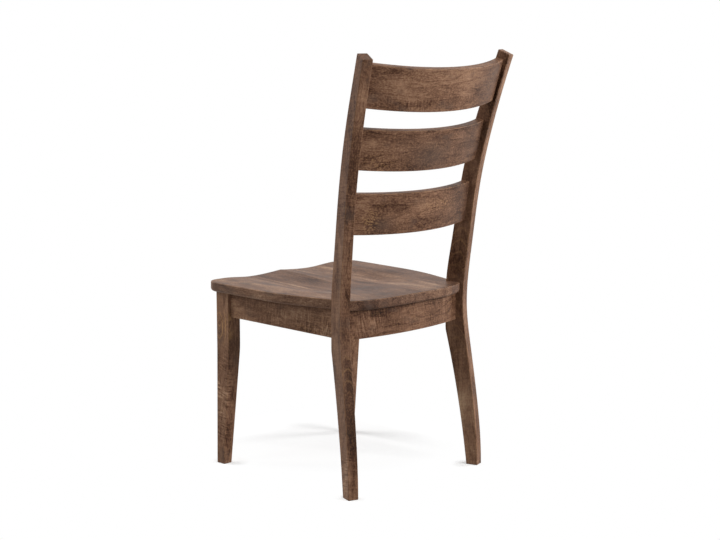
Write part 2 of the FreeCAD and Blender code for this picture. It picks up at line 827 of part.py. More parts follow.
def apron_pieces(frame):
    """The four aprons."""
    pieces = as_pair("apron", drilled(apron_left(), frame.side_front + frame.side_rear + frame.blocks))
    front_holes = both_sides(holes_of(frame.front_cross + [frame.front_block]))
    rear_holes = both_sides(holes_of(frame.rear_cross + [frame.rear_block]))
    pieces["apron_front"] = largest_solid(apron_front().cut(front_holes))
    pieces["apron_rear"] = largest_solid(apron_rear().cut(rear_holes))
    return pieces


def block_pieces(frame):
    """The four corner blocks."""
    side = apron_left()
    pieces = as_pair("corner_block_front", frame.front_block.solid([side, apron_front()]))
    pieces.update(as_pair("corner_block_rear", frame.rear_block.solid([side, apron_rear()])))
    return pieces


def seat_pieces(frame):
    """The seat's boards, numbered from the sitter's right to the left."""
    boards = seat_boards(seat_blank().cut(both_sides(holes_of(frame.blocks))))
    return {f"seat_board_{number}": board for number, board in enumerate(boards, start=1)}


def fixing_pieces(frame):
    """Dowels and screws, grouped by where they are."""
    side = Part.makeCompound([dowel.solid() for dowel in frame.side_front + frame.side_rear])
    pieces = as_pair("dowels_apron", side)
    groups = {
        "dowels_apron_front": frame.front_cross,
        "dowels_apron_rear": frame.rear_cross,
        "corner_block_screws": frame.front_block.apron_screws() + frame.rear_block.apron_screws(),
        "seat_screws": [block.seat_screw() for block in frame.blocks],
    }
    for name, fixings in groups.items():
        pieces[name] = Part.makeCompound(both_sides([fixing.solid() for fixing in fixings]))
    return pieces


def chair_pieces():
    """Every piece of the chair by name, each as one solid or a group of alike solids."""
    seats = slat_seats()
    frame = Frame()
    pieces = leg_pieces(frame, seats)
    pieces.update({name: slat(seat) for name, seat in zip(slat_names, seats)})
    pieces.update(seat_pieces(frame))
    pieces.update(apron_pieces(frame))
    pieces.update(block_pieces(frame))
    pieces.update(fixing_pieces(frame))
    return pieces


def centre_on_floor(pieces):
    """Move the chair so that the origin is on the floor in the middle of its outline."""
    box = Part.makeCompound(list(pieces.values())).optimalBoundingBox(False, False)
    shift = Vector(-(box.XMin + box.XMax) / 2, -(box.YMin + box.YMax) / 2, -box.ZMin)
    print("joint line moved by", shift)
    for shape in pieces.values():
        shape.translate(shift)


def main():
    """Build, centre and write every piece."""
    pieces = chair_pieces()
    centre_on_floor(pieces)
    os.makedirs("parts", exist_ok=True)
    for name, shape in pieces.items():
        print(name, "solids", len(shape.Solids), "valid", shape.isValid(), "volume", round(shape.Volume))
        shape.exportStep(f"parts/{name}.step")


main()
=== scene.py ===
"""Looks of a ladderback side chair in stained maple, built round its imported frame.

Sizes are in millimetres and are turned to metres when a mesh is written. Place 0 from front to back is
the joint line, the flat front face of the rear legs, as in the chair's own drawing. The sitter faces -Y
and the sitter's left is +X.
"""

import json
import logging
import math
from dataclasses import dataclass, field
from enum import Enum
from typing import Any, Sequence

import bmesh
import bpy
import numpy as np
from bpy.types import Material, Mesh, NodeSocket, NodeTree, Object, World
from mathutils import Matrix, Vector

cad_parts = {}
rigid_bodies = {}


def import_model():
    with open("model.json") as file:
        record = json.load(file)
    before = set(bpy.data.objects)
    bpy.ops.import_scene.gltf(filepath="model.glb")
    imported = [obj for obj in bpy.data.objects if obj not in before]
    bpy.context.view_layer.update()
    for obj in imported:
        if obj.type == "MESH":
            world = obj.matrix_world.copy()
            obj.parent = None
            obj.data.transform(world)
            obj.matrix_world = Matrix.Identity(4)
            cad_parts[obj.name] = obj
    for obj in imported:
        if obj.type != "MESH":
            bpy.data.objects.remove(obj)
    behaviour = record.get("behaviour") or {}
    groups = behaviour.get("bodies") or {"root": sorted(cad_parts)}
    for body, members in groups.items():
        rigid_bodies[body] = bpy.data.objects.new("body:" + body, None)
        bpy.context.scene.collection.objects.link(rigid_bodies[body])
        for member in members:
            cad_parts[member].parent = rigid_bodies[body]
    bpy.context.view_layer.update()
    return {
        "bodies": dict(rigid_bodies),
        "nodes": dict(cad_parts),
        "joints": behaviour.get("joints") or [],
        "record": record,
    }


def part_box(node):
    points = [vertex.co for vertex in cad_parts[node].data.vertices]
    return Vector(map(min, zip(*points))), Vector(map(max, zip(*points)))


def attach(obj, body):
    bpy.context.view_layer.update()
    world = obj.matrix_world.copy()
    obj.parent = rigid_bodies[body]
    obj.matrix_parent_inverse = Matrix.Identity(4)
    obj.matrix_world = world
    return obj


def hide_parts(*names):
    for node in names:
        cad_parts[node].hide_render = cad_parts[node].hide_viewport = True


LOG = logging.getLogger("ladderback_chair")

MM = 0.001
BODY = "root"

# Values that each point of a board carries
GRAIN = "grain"
STAIN_AND_SHADE = "stain"
CURL = "curl"
TONE = "tone"
GOLD = "gold"
ARCH = "arch"
FINE = "fine"
SMOKE_AND_SHEEN = "smoke"
RIM = "rim"
ARCH_PLACE = "arch_place"
POINT_VALUES = (STAIN_AND_SHADE, CURL, TONE, GOLD, ARCH, FINE, SMOKE_AND_SHEEN, RIM, ARCH_PLACE)

# Node types and settings that are used often
MATHS = "ShaderNodeMath"
VECTOR_MATHS = "ShaderNodeVectorMath"
MAP_RANGE = "ShaderNodeMapRange"
NOISE = "ShaderNodeTexNoise"
ATTRIBUTE = "ShaderNodeAttribute"
OBJECT_PLACE = "ShaderNodeTexCoord"
MIX = "ShaderNodeMix"
SMOOTH = {"interpolation_type": "SMOOTHSTEP"}
COLOURS = {"data_type": "RGBA"}
WHITE = "#ffffff"

# A Mix node's sockets for colours, by number
UNDER = 6
OVER = 7
MIXED = 2

# Limits and counts for modelling, with the radius in millimetres and the distances in metres
LEAST_RADIUS = 0.05
MERGE_DISTANCE = 0.01 * MM
CUT_TOLERANCE = 0.001 * MM
SHARP_ANGLE = math.radians(35.0)
QUARTER_TURN = math.pi / 2
FITTED_END_POINTS = 4
LEG_END_RINGS = 4
FACING_CONTRAST = 2.0


class Side(Enum):
    """A side of the chair, as the sitter has it."""

    LEFT = 1
    RIGHT = -1

    @property
    def label(self) -> str:
        """The word used in node names."""
        return self.name.lower()


def linear(hex_colour: str) -> tuple[float, float, float, float]:
    """Turn an sRGB hex colour into linear values, by the usual sRGB curve.

    Args:
        hex_colour: Six hex digits, with or without a leading mark.

    Returns:
        Red, green, blue and an alpha of 1.
    """
    digits = hex_colour.lstrip("#")
    channels = [int(digits[i:i + 2], 16) / 255 for i in (0, 2, 4)]
    return tuple(c / 12.92 if c <= 0.04045 else ((c + 0.055) / 1.055) ** 2.4 for c in channels) + (1.0,)


def add_node(tree: NodeTree, kind: str, inputs: dict[str | int, Any] | None = None,
             output: str | int = 0, **settings: Any) -> NodeSocket:
    """Add a node with its settings and what goes into its sockets.

    Args:
        tree: The tree that gets the node.
        kind: Blender's name of the node type.
        inputs: Socket name or number to a value, or to the socket that is linked to it.
        output: Name or number of the output that is wanted.
        settings: Properties to set on the node.

    Returns:
        The wanted output, or the first input of a node that has no output.
    """
    node = tree.nodes.new(kind)
    for name, value in settings.items():
        setattr(node, name, value)
    for name, value in (inputs or {}).items():
        socket = node.inputs[name]
        if isinstance(value, NodeSocket):
            tree.links.new(value, socket)
        else:
            socket.default_value = value
    return node.outputs[output] if node.outputs else node.inputs[0]


def between(ends: tuple[float, float]) -> dict[str, float]:
    """What a Map Range node takes for the two ends of its range."""
    return {"From Min": ends[0], "From Max": ends[1]}


def empty_tree(owner: Material | World) -> NodeTree:
    """Clear the node tree of a new material or world.

    Args:
        owner: The material or the world.

    Returns:
        Its empty tree.
    """
    owner.use_nodes = True
    owner.node_tree.nodes.clear()
    return owner.node_tree


@dataclass(frozen=True)
class ChairPlan:
    """Sizes that several sub-assemblies share, in millimetres."""

    chair_height: float = 1013.0
    rear_leg_half_span: float = 202.6
    rear_leg_thickness: float = 25.5
    rear_leg_turn: float = 18.0
    frame_depth: float = 375.9
    front_leg_half_span: float = 226.2
    front_leg_width: float = 38.0
    front_leg_depth: float = 43.8
    seat_rim_height: float = 452.3
    seat_rise: float = 3.0
    seat_thickness: float = 24.0
    seat_front_overhang: float = 18.7
    apron_thickness: float = 19.0
    apron_recess: float = 8.6
    apron_rear_recess: float = 6.0
    side_apron_height_rear: float = 66.8
    side_apron_height_front: float = 61.3
    joint_line: float = 0.0

    @property
    def underside_height(self) -> float:
        """Height of the seat's underside at the joint line."""
        return self.seat_rim_height - self.seat_thickness

    @property
    def seat_front(self) -> float:
        """Place of the seat's front edge."""
        return -self.frame_depth - self.seat_front_overhang

    def underside_at(self, y: Any) -> Any:
        """Height of the seat's underside at a place from front to back."""
        return self.underside_height + y * self.seat_rise / self.seat_front

    def leg_point(self, setback: Any, inward: Any, side: Side = Side.LEFT) -> tuple[Any, Any]:
        """Plan place of a point given in a rear leg's own frame.

        Args:
            setback: Distance behind the joint line, along the leg's turned faces.
            inward: Distance inward from the leg's outer face.
            side: Which rear leg.

        Returns:
            X and Y.
        """
        turn = math.radians(90.0 - self.rear_leg_turn)
        x = self.rear_leg_half_span + math.cos(turn) * setback - math.sin(turn) * inward
        y = math.sin(turn) * setback + math.cos(turn) * inward
        return x * side.value, y


def to_metres(points: np.ndarray, plan: ChairPlan) -> np.ndarray:
    """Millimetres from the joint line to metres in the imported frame."""
    return (np.asarray(points, float) + (0.0, plan.joint_line, 0.0)) * MM


def eased(share: np.ndarray) -> np.ndarray:
    """A share from 0 to 1 that starts and stops gently."""
    share = np.clip(share, 0, 1)
    return share * share * (3 - 2 * share)


def smooth_curve(points: Sequence[Sequence[float]], start: Sequence[float] | None = None,
                 end: Sequence[float] | None = None, samples: int = 400) -> np.ndarray:
    """A curve with even curvature through points, walked by the lengths between them.

    Args:
        points: Two or more points of any dimension.
        start: Direction at the first point, or None to follow the first few points.
        end: Direction at the last point, or None to follow the last few points.
        samples: How many places on the curve are returned.

    Returns:
        Samples along the curve, ends included.
    """
    knots = np.asarray(points, float)
    steps = np.linalg.norm(np.diff(knots, axis=0), axis=1)
    at = np.concatenate([[0.0], np.cumsum(steps)])
    count = len(knots)
    system = np.zeros((count, count))
    wanted = np.zeros_like(knots)
    for i in range(1, count - 1):
        before, after = steps[i - 1], steps[i]
        system[i, i - 1:i + 2] = after, 2 * (before + after), before
        behind, ahead = np.diff(knots[i - 1:i + 2], axis=0)
        wanted[i] = 3 * (after / before * behind + before / after * ahead)
    few = min(count, FITTED_END_POINTS)
    for row, direction, window in ((0, start, slice(0, few)), (count - 1, end, slice(count - few, count))):
        system[row, row] = 1.0
        if direction is None:
            fit = np.polyfit(at[window] - at[row], knots[window], few - 1)
            wanted[row] = fit[-2]
        else:
            wanted[row] = np.asarray(direction, float) / np.linalg.norm(direction)
    slopes = np.linalg.solve(system, wanted)
    where = np.linspace(0.0, at[-1], samples)
    span = np.clip(np.searchsorted(at, where, side="right") - 1, 0, count - 2)
    length = steps[span][:, None]
    t = ((where - at[span])[:, None]) / length
    return ((1 + 2 * t) * (1 - t) ** 2 * knots[span] + t * (1 - t) ** 2 * length * slopes[span]
            + t ** 2 * (3 - 2 * t) * knots[span + 1] + t ** 2 * (t - 1) * length * slopes[span + 1])


def rounded_section(width: float, depth: float, radii: Sequence[float], side_steps: int = 6,
                    corner_steps: int = 4) -> np.ndarray:
    """Closed section of a board or leg, counter-clockwise from its low corner.

    Args:
        width: Size along the section's first direction.
        depth: Size along its second direction.
        radii: Rounding of the four corners, counter-clockwise from (0, 0).
        side_steps: Parts that each flat side is divided into.
        corner_steps: Parts that each corner is divided into.

    Returns:
        Points of the section, one row each.
    """
    corners = [(0.0, 0.0), (width, 0.0), (width, depth), (0.0, depth)]
    inward = [(1, 1), (-1, 1), (-1, -1), (1, -1)]
    rounds = []
    for number, ((x, y), (ix, iy), radius) in enumerate(zip(corners, inward, radii)):
        begin = math.pi + number * QUARTER_TURN
        angles = begin + np.linspace(0, QUARTER_TURN, corner_steps + 1)
        centre = np.array((x + ix * radius, y + iy * radius))
        rounds.append(centre + radius * np.column_stack([np.cos(angles), np.sin(angles)]))
    ring = []
    for number, corner in enumerate(rounds):
        ring.extend(corner)
        following = rounds[(number + 1) % 4][0]
        for step in range(1, side_steps):
            ring.append(corner[-1] + (following - corner[-1]) * step / side_steps)
    return np.array(ring)


@dataclass
class Shape:
    """A piece before it becomes a mesh.

    Beside each point stand its place in the wood's own directions, its distance from the long edges, and
    its place on the nested arches that sawing through a curve lays open.
    """

    points: np.ndarray
    faces: list[tuple[int, ...]]
    grain: np.ndarray
    rim: np.ndarray
    arch: np.ndarray | None = None


def edge_distance(first: np.ndarray, width: Any, second: np.ndarray, depth: Any) -> np.ndarray:
    """How far points on a board's faces lie from its long edges.

    Args:
        first: Places across the section, from 0 to its width.
        width: The section's width.
        second: Places through the section, from 0 to its depth.
        depth: The section's depth.

    Returns:
        One distance for each point.
    """
    return np.maximum(np.minimum(first, width - first), np.minimum(second, depth - second))


def lofted(rings: np.ndarray, grain: np.ndarray, rim: np.ndarray) -> Shape:
    """A closed skin over rings of points, with both ends capped.

    Args:
        rings: Ring number, point number, coordinate.
        grain: The same points in the wood's own directions.
        rim: The same points' distances from the piece's long edges.

    Returns:
        The shape, its faces pointing outwards where the rings turn counter-clockwise seen from the last.
    """
    count, around = rings.shape[:2]
    faces = []
    for low in range(0, (count - 1) * around, around):
        for first in range(around):
            second = (first + 1) % around
            faces.append((low + first, low + second, low + around + second, low + around + first))
    faces.append(tuple(range(around))[::-1])
    faces.append(tuple(range((count - 1) * around, count * around)))
    return Shape(rings.reshape(-1, 3), faces, grain.reshape(-1, 3), rim.ravel())


def setback_at(edge: np.ndarray, height: Any) -> Any:
    """Setback of a leg's edge at a height, or at several."""
    return np.interp(height, edge[:, 1], edge[:, 0])


def eased_end(easing: float) -> list[tuple[float, float]]:
    """Inset and climb of the rings that round a leg's end over."""
    turns = np.linspace(0, QUARTER_TURN, LEG_END_RINGS)
    return [(easing * (1 - math.sin(turn)), easing * (1 - math.cos(turn))) for turn in turns]


@dataclass(frozen=True)
class Patch:
    """A soft-edged patch in the stain, in the wood's own directions and in millimetres; some are painted
    shade.

    Where through is None it goes right through the board, and otherwise it lies at that depth in it.
    """

    across: float
    along: float
    width: float
    length: float
    strength: float
    through: float | None = None
    depth: float = 12.0


def on_face(through: float, depth: float, *rows: tuple[float, ...]) -> tuple[Patch, ...]:
    """Patches that lie in the skin of one face, each given by its place, size and strength."""
    return tuple(Patch(*row, through, depth) for row in rows)


@dataclass(frozen=True)
class Figure:
    """What one board's wood looks like beyond the common finish.

    The shift picks the board's part of the pattern. Tone, curl, gold, fine and the grey clouding hold all
    over the board, and the patches are added to them, those in edges only on faces turned to the front or
    rear. Some stain patches are painted shade, and the grey clouding is partly the wood's own and partly a
    painted grey sheen.
    """

    shift: tuple[float, float, float] = (0.0, 0.0, 0.0)
    tone: float = 0.0
    curl: float = 0.12
    gold: float = 0.12
    fine: float = 0.88
    # Grey clouding, all over and in patches: partly the wood's own, partly a painted grey sheen
    smoke: float = 0.0
    patches: tuple[Patch, ...] = ()
    edges: tuple[Patch, ...] = ()
    curls: tuple[Patch, ...] = ()
    golds: tuple[Patch, ...] = ()
    arches: tuple[Patch, ...] = ()
    smokes_and_sheen: tuple[Patch, ...] = ()


def spread(patches: Sequence[Patch], grain: np.ndarray) -> np.ndarray:
    """Strength of patches at points of the wood.

    Args:
        patches: The patches, which add up where they overlap.
        grain: The points, in the wood's own directions.

    Returns:
        One strength for each point.
    """
    total = np.zeros(len(grain))
    for patch in patches:
        distance = ((grain[:, 0] - patch.across) / patch.width) ** 2
        distance += ((grain[:, 2] - patch.along) / patch.length) ** 2
        if patch.through is not None:
            distance += ((grain[:, 1] - patch.through) / patch.depth) ** 2
        total += patch.strength * np.exp(-distance)
    return total


def edge_share(mesh: Mesh) -> np.ndarray:
    """Tell faces turned to the front or the rear from those turned to the sides.

    Args:
        mesh: The mesh.

    Returns:
        One share for each point, 1 on a face turned to the front or the rear.
    """
    facing = np.zeros(len(mesh.vertices) * 3)
    mesh.vertex_normals.foreach_get("vector", facing)
    facing = np.abs(facing.reshape(-1, 3))
    return np.clip(0.5 + FACING_CONTRAST * (facing[:, 1] - facing[:, 0]), 0.0, 1.0)


def grain_of(mesh: Mesh) -> np.ndarray:
    """Read where a mesh's points lie in the wood.

    Args:
        mesh: A mesh that holds the grain attribute.

    Returns:
        A row for each point: across, through and along the wood, in millimetres.
    """
    grain = np.zeros(len(mesh.vertices) * 3)
    mesh.attributes[GRAIN].data.foreach_get("vector", grain)
    return grain.reshape(-1, 3)


def write_values(mesh: Mesh, name: str, values: np.ndarray) -> None:
    """Store one value for each point of a mesh."""
    layer = mesh.attributes.new(name, "FLOAT", "POINT")
    layer.data.foreach_set("value", values.astype(np.float32))


def write_figure(mesh: Mesh, figure: Figure) -> None:
    """Store a board's figure on its mesh, and shift its grain to its own part of the pattern.

    Args:
        mesh: A mesh that holds the grain attribute.
        figure: What the board looks like.
    """
    grain = grain_of(mesh)
    on_edges = edge_share(mesh) * spread(figure.edges, grain)
    values = {
        # The stain includes painted shade on a few boards, and the grey clouding a painted sheen
        STAIN_AND_SHADE: spread(figure.patches, grain) + on_edges,
        CURL: figure.curl + spread(figure.curls, grain),
        TONE: np.full(len(grain), figure.tone),
        GOLD: figure.gold + spread(figure.golds, grain),
        ARCH: spread(figure.arches, grain),
        FINE: np.full(len(grain), figure.fine),
        SMOKE_AND_SHEEN: figure.smoke + spread(figure.smokes_and_sheen, grain),
    }
    for name, value in values.items():
        write_values(mesh, name, value)
    shifted = (grain + figure.shift).astype(np.float32)
    mesh.attributes[GRAIN].data.foreach_set("vector", shifted.ravel())


def mesh_of(name: str, shape: Shape, plan: ChairPlan) -> Mesh:
    """Write a shape to a mesh.

    Args:
        name: Name of the mesh.
        shape: The shape, in millimetres.
        plan: The chair's plan.

    Returns:
        The mesh in metres, with its grain, rim and arch values beside it in millimetres.
    """
    mesh = bpy.data.meshes.new(name)
    mesh.from_pydata(to_metres(shape.points, plan).tolist(), [], shape.faces)
    layer = mesh.attributes.new(GRAIN, "FLOAT_VECTOR", "POINT")
    layer.data.foreach_set("vector", shape.grain.astype(np.float32).ravel())
    write_values(mesh, RIM, shape.rim)
    if shape.arch is not None:
        write_values(mesh, ARCH_PLACE, shape.arch)
    return mesh


def recalculated(mesh: Mesh) -> None:
    """Merge doubled points and turn every face outwards.

    Args:
        mesh: A closed mesh, which is changed.
    """
    work = bmesh.new()
    work.from_mesh(mesh)
    bmesh.ops.remove_doubles(work, verts=work.verts, dist=MERGE_DISTANCE)
    bmesh.ops.recalc_face_normals(work, faces=work.faces)
    if work.calc_volume(signed=True) < 0:
        bmesh.ops.reverse_faces(work, faces=work.faces)
    work.to_mesh(mesh)
    work.free()


def trimmed(mesh: Mesh, point: Vector, normal: Vector) -> None:
    """Saw off what lies beyond a plane and close the cut.

    Args:
        mesh: A closed mesh, which is changed.
        point: A point on the plane.
        normal: The plane's normal, which points to the waste.
    """
    work = bmesh.new()
    work.from_mesh(mesh)
    geometry = work.verts[:] + work.edges[:] + work.faces[:]
    cut = bmesh.ops.bisect_plane(work, geom=geometry, dist=CUT_TOLERANCE, plane_co=point, plane_no=normal,
                                 clear_outer=True)
    edges = [item for item in cut["geom_cut"] if isinstance(item, bmesh.types.BMEdge)]
    bmesh.ops.contextual_create(work, geom=edges)
    work.to_mesh(mesh)
    work.free()


def placed(name: str, data: Any) -> Object:
    """Put a mesh, a lamp or a camera in the scene.

    Args:
        name: Name of the object.
        data: What the object holds.

    Returns:
        The object.
    """
    thing = bpy.data.objects.new(name, data)
    bpy.context.scene.collection.objects.link(thing)
    return thing


def settled(thing: Object) -> Mesh:
    """A plain mesh of an object, with its modifiers carried out."""
    graph = bpy.context.evaluated_depsgraph_get()
    return bpy.data.meshes.new_from_object(thing.evaluated_get(graph))


def finished(node: str, making: str, mesh: Mesh, figure: Figure, material: Material) -> None:
    """Give a board its figure and its finish, and let it stand for its CAD node.

    Args:
        node: The CAD node that it replaces.
        making: How it was made, which ends its name.
        mesh: Its mesh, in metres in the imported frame.
        figure: What its wood looks like.
        material: Its finish.
    """
    write_figure(mesh, figure)
    recalculated(mesh)
    mesh.materials.clear()
    mesh.materials.append(material)
    mesh.shade_smooth()
    mesh.set_sharp_from_angle(angle=SHARP_ANGLE)
    name = f"{node}_{making}"
    piece = placed(name, mesh)
    piece.modifiers.new("even_light", "WEIGHTED_NORMAL").keep_sharp = True
    piece.data = settled(piece)
    piece.data.name = name
    piece.modifiers.clear()
    bpy.data.meshes.remove(mesh)
    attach(piece, BODY)
    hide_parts(node)
    LOG.info("%s: %d faces", name, len(piece.data.polygons))


@dataclass
class RearLegs:
    """The two rear legs, each sawn in one piece with its back post."""

    plan: ChairPlan
    foot_setback: float = 59.0
    foot_depth: float = 29.4
    shin_setback: float = 28.8
    shin_share: float = 0.60
    calf_depths: tuple[float, float] = (39.9, 48.7)
    calf_shares: tuple[float, float] = (0.45, 0.90)
    rail_depth: float = 47.1
    knee_drop: float = 27.5
    post_lean: float = 130.8
    post_lean_shape: tuple[tuple[float, float], ...] = ((0.206, 0.108), (0.463, 0.291), (0.720, 0.570))
    post_depths: tuple[float, ...] = (44.9, 41.4, 39.2)
    post_top_depth: float = 28.7
    post_top_drop: float = 13.3
    easing: float = 1.6
    arch_bows: tuple[float, float] = (0.05, 0.1)
    ring_count: int = 110

    @property
    def knee_height(self) -> float:
        """Height of the knee above the floor."""
        return self.plan.underside_height - self.plan.side_apron_height_rear - self.knee_drop

    def front_edge(self) -> np.ndarray:
        """Draw the front edge, from the floor to the top.

        Returns:
            Setback and height of its points.
        """
        knee, rail = self.knee_height, self.plan.underside_height
        rise = self.plan.chair_height - rail
        shin = smooth_curve([(self.foot_setback, 0), (self.shin_setback, self.shin_share * knee), (0, knee)])
        post = [(0.0, rail)]
        post += [(lean * self.post_lean, rail + share * rise) for share, lean in self.post_lean_shape]
        post.append((self.post_lean, self.plan.chair_height))
        top_way = np.subtract(post[-1], post[-2])
        return np.vstack([shin, smooth_curve(post, start=(0, 1), end=top_way)])

    def back_edge(self) -> np.ndarray:
        """Draw the back edge, from the floor to the top.

        Returns:
            Setback and height of its points.
        """
        knee, rail = self.knee_height, self.plan.underside_height
        rise = self.plan.chair_height - rail
        front = self.front_edge()
        points = [(self.foot_setback + self.foot_depth, 0.0)]
        for share, depth in zip(self.calf_shares, self.calf_depths):
            height = share * knee
            points.append((setback_at(front, height) + depth, height))
        points.append((self.rail_depth, (knee + rail) / 2))
        for (share, lean), depth in zip(self.post_lean_shape, self.post_depths):
            points.append((lean * self.post_lean + depth, rail + share * rise))
        points.append((self.post_lean + self.post_top_depth, self.plan.chair_height - self.post_top_drop))
        return smooth_curve(points)

    def section_at(self, share: float, inset: float, grow: float) -> tuple[np.ndarray, np.ndarray]:
        """Front and back points of the leg at a share of its height.

        Args:
            share: 0 at the floor and 1 at the top.
            inset: How far the end's easing has drawn the section in.
            grow: How far the section is grown all round.

        Returns:
            The front point and the back point, each as setback and height.
        """
        front, back = self.front_edge(), self.back_edge()
        high = share * self.plan.chair_height
        low = share * (self.plan.chair_height - self.post_top_drop)
        near = np.array((setback_at(front, high), high))
        far = np.array((setback_at(back, low), low))
        way = (far - near) / np.linalg.norm(far - near)
        return near + way * (inset - grow), far - way * (inset - grow)

    def shape(self, side: Side, grow: float = 0.0) -> Shape:
        """Skin of one rear leg.

        Args:
            side: Which leg.
            grow: How far it is grown all round, for cutting the seat's notch.

        Returns:
            The leg, its grain running up it.
        """
        easing = 0.0 if grow else self.easing
        height = self.plan.chair_height
        ends = eased_end(easing)
        foot = [(inset, climb / height) for inset, climb in ends]
        body = [(0.0, share) for share in np.linspace(0, 1, self.ring_count + 1)[1:-1]]
        top = [(inset, 1 - climb / height) for inset, climb in reversed(ends)]
        thickness = self.plan.rear_leg_thickness + 2 * grow
        rings, grain, rim, arch = [], [], [], []
        for inset, share in foot + body + top:
            near, far = self.section_at(share, inset, grow)
            depth = float(np.linalg.norm(far - near))
            radius = max(easing - inset, LEAST_RADIUS)
            section = rounded_section(depth, thickness - 2 * inset, (radius,) * 4)
            along = near + np.outer(section[:, 0] / depth, far - near)
            inward = section[:, 1] + inset - grow
            x, y = self.plan.leg_point(along[:, 0], inward, side)
            rings.append(np.column_stack([x, y, along[:, 1]]))
            grain.append(np.column_stack([along[:, 0], inward, along[:, 1]]))
            rim.append(edge_distance(section[:, 0], depth, section[:, 1], thickness - 2 * inset))
            from_middle = section - (depth / 2, thickness / 2)
            arch.append(along[:, 1] + from_middle ** 2 @ self.arch_bows)
        leg = lofted(np.array(rings), np.array(grain), np.array(rim))
        leg.arch = np.array(arch).ravel()
        return leg

    def build(self, material: Material, figures: dict[Side, Figure]) -> None:
        """Make and dress both legs.

        Args:
            material: Their finish.
            figures: What each leg's wood looks like.
        """
        for side in Side:
            node = f"rear_leg_{side.label}"
            finished(node, "sawn", mesh_of(node, self.shape(side), self.plan), figures[side], material)


@dataclass
class FrontLegs:
    """The two tapered front legs."""

    plan: ChairPlan
    foot_width: float = 24.0
    foot_depth: float = 27.0
    foot_kick: float = 6.0
    foot_toe_in: float = 1.3
    knee_drop: float = 82.0
    knee_radius: float = 500.0
    easing: float = 1.6
    swirl_middle: tuple[float, float] = (-366.0, 346.0)
    swirl_squeeze: float = 2.6
    ring_count: int = 90
    side_steps: int = 10

    def bent(self, height: float, foot: float, knee: float, top: float) -> float:
        """Follow a face that is straight to the knee, bends gently and is straight to the top.

        Args:
            height: Height of the wanted place.
            foot: Where the face is at the floor.
            knee: Where its two straight parts meet.
            top: Where it is at the seat.

        Returns:
            Where the face is at that height.
        """
        plan = self.plan
        knee_height = plan.underside_at(-plan.frame_depth) - plan.side_apron_height_front - self.knee_drop
        low_slope = (knee - foot) / knee_height
        high_slope = (top - knee) / (plan.underside_height - knee_height)
        reach = self.knee_radius * abs(high_slope - low_slope) / 2
        rise = height - knee_height
        if rise <= -reach:
            return knee + low_slope * rise
        if rise >= reach:
            return knee + high_slope * rise
        return knee + low_slope * rise + (high_slope - low_slope) * (rise + reach) ** 2 / (4 * reach)

    def faces_at(self, height: float) -> tuple[float, float, float, float]:
        """Where the four faces of the left leg are.

        Args:
            height: Height above the floor.

        Returns:
            The inner, the outer, the front and the back face.
        """
        outer_top = self.plan.front_leg_half_span
        inner_top = outer_top - self.plan.front_leg_width
        toe = outer_top - self.foot_toe_in
        front_top = -self.plan.frame_depth
        back_top = front_top + self.plan.front_leg_depth
        toe_front = front_top - self.foot_kick
        inner = self.bent(height, toe - self.foot_width, inner_top, inner_top)
        outer = toe + self.foot_toe_in * height / self.plan.underside_height
        front = self.bent(height, toe_front, front_top, front_top)
        back = self.bent(height, toe_front + self.foot_depth, back_top, back_top)
        return inner, outer, front, back

    def shape(self, side: Side) -> Shape:
        """Skin of one front leg.

        Args:
            side: Which leg.

        Returns:
            The leg, its grain running up it.
        """
        top = self.plan.underside_height
        levels = eased_end(self.easing)
        levels += [(0.0, height) for height in np.linspace(0, top, self.ring_count + 1)[1:]]
        rings, rim = [], []
        for inset, height in levels:
            inner, outer, front, back = self.faces_at(height)
            width, depth = outer - inner - 2 * inset, back - front - 2 * inset
            radius = max(self.easing - inset, LEAST_RADIUS)
            section = rounded_section(width, depth, (radius,) * 4, self.side_steps)
            rim.append(edge_distance(section[:, 0], width, section[:, 1], depth))
            x = inner + inset + section[:, 0]
            y = front + inset + section[:, 1]
            z = height * self.plan.underside_at(y) / top
            rings.append(np.column_stack([x, y, z]))
        grain = np.array(rings)
        leg = lofted(grain * (side.value, 1, 1), grain, np.array(rim))
        middle_y, middle_z = self.swirl_middle
        leg.arch = np.hypot((leg.grain[:, 1] - middle_y) * self.swirl_squeeze, leg.grain[:, 2] - middle_z)
        return leg

    def build(self, material: Material, figures: dict[Side, Figure]) -> None:
        """Make and dress both legs.

        Args:
            material: Their finish.
            figures: What each leg's wood looks like.
        """
        for side in Side:
            node = f"front_leg_{side.label}"
            finished(node, "tapered", mesh_of(node, self.shape(side), self.plan), figures[side], material)


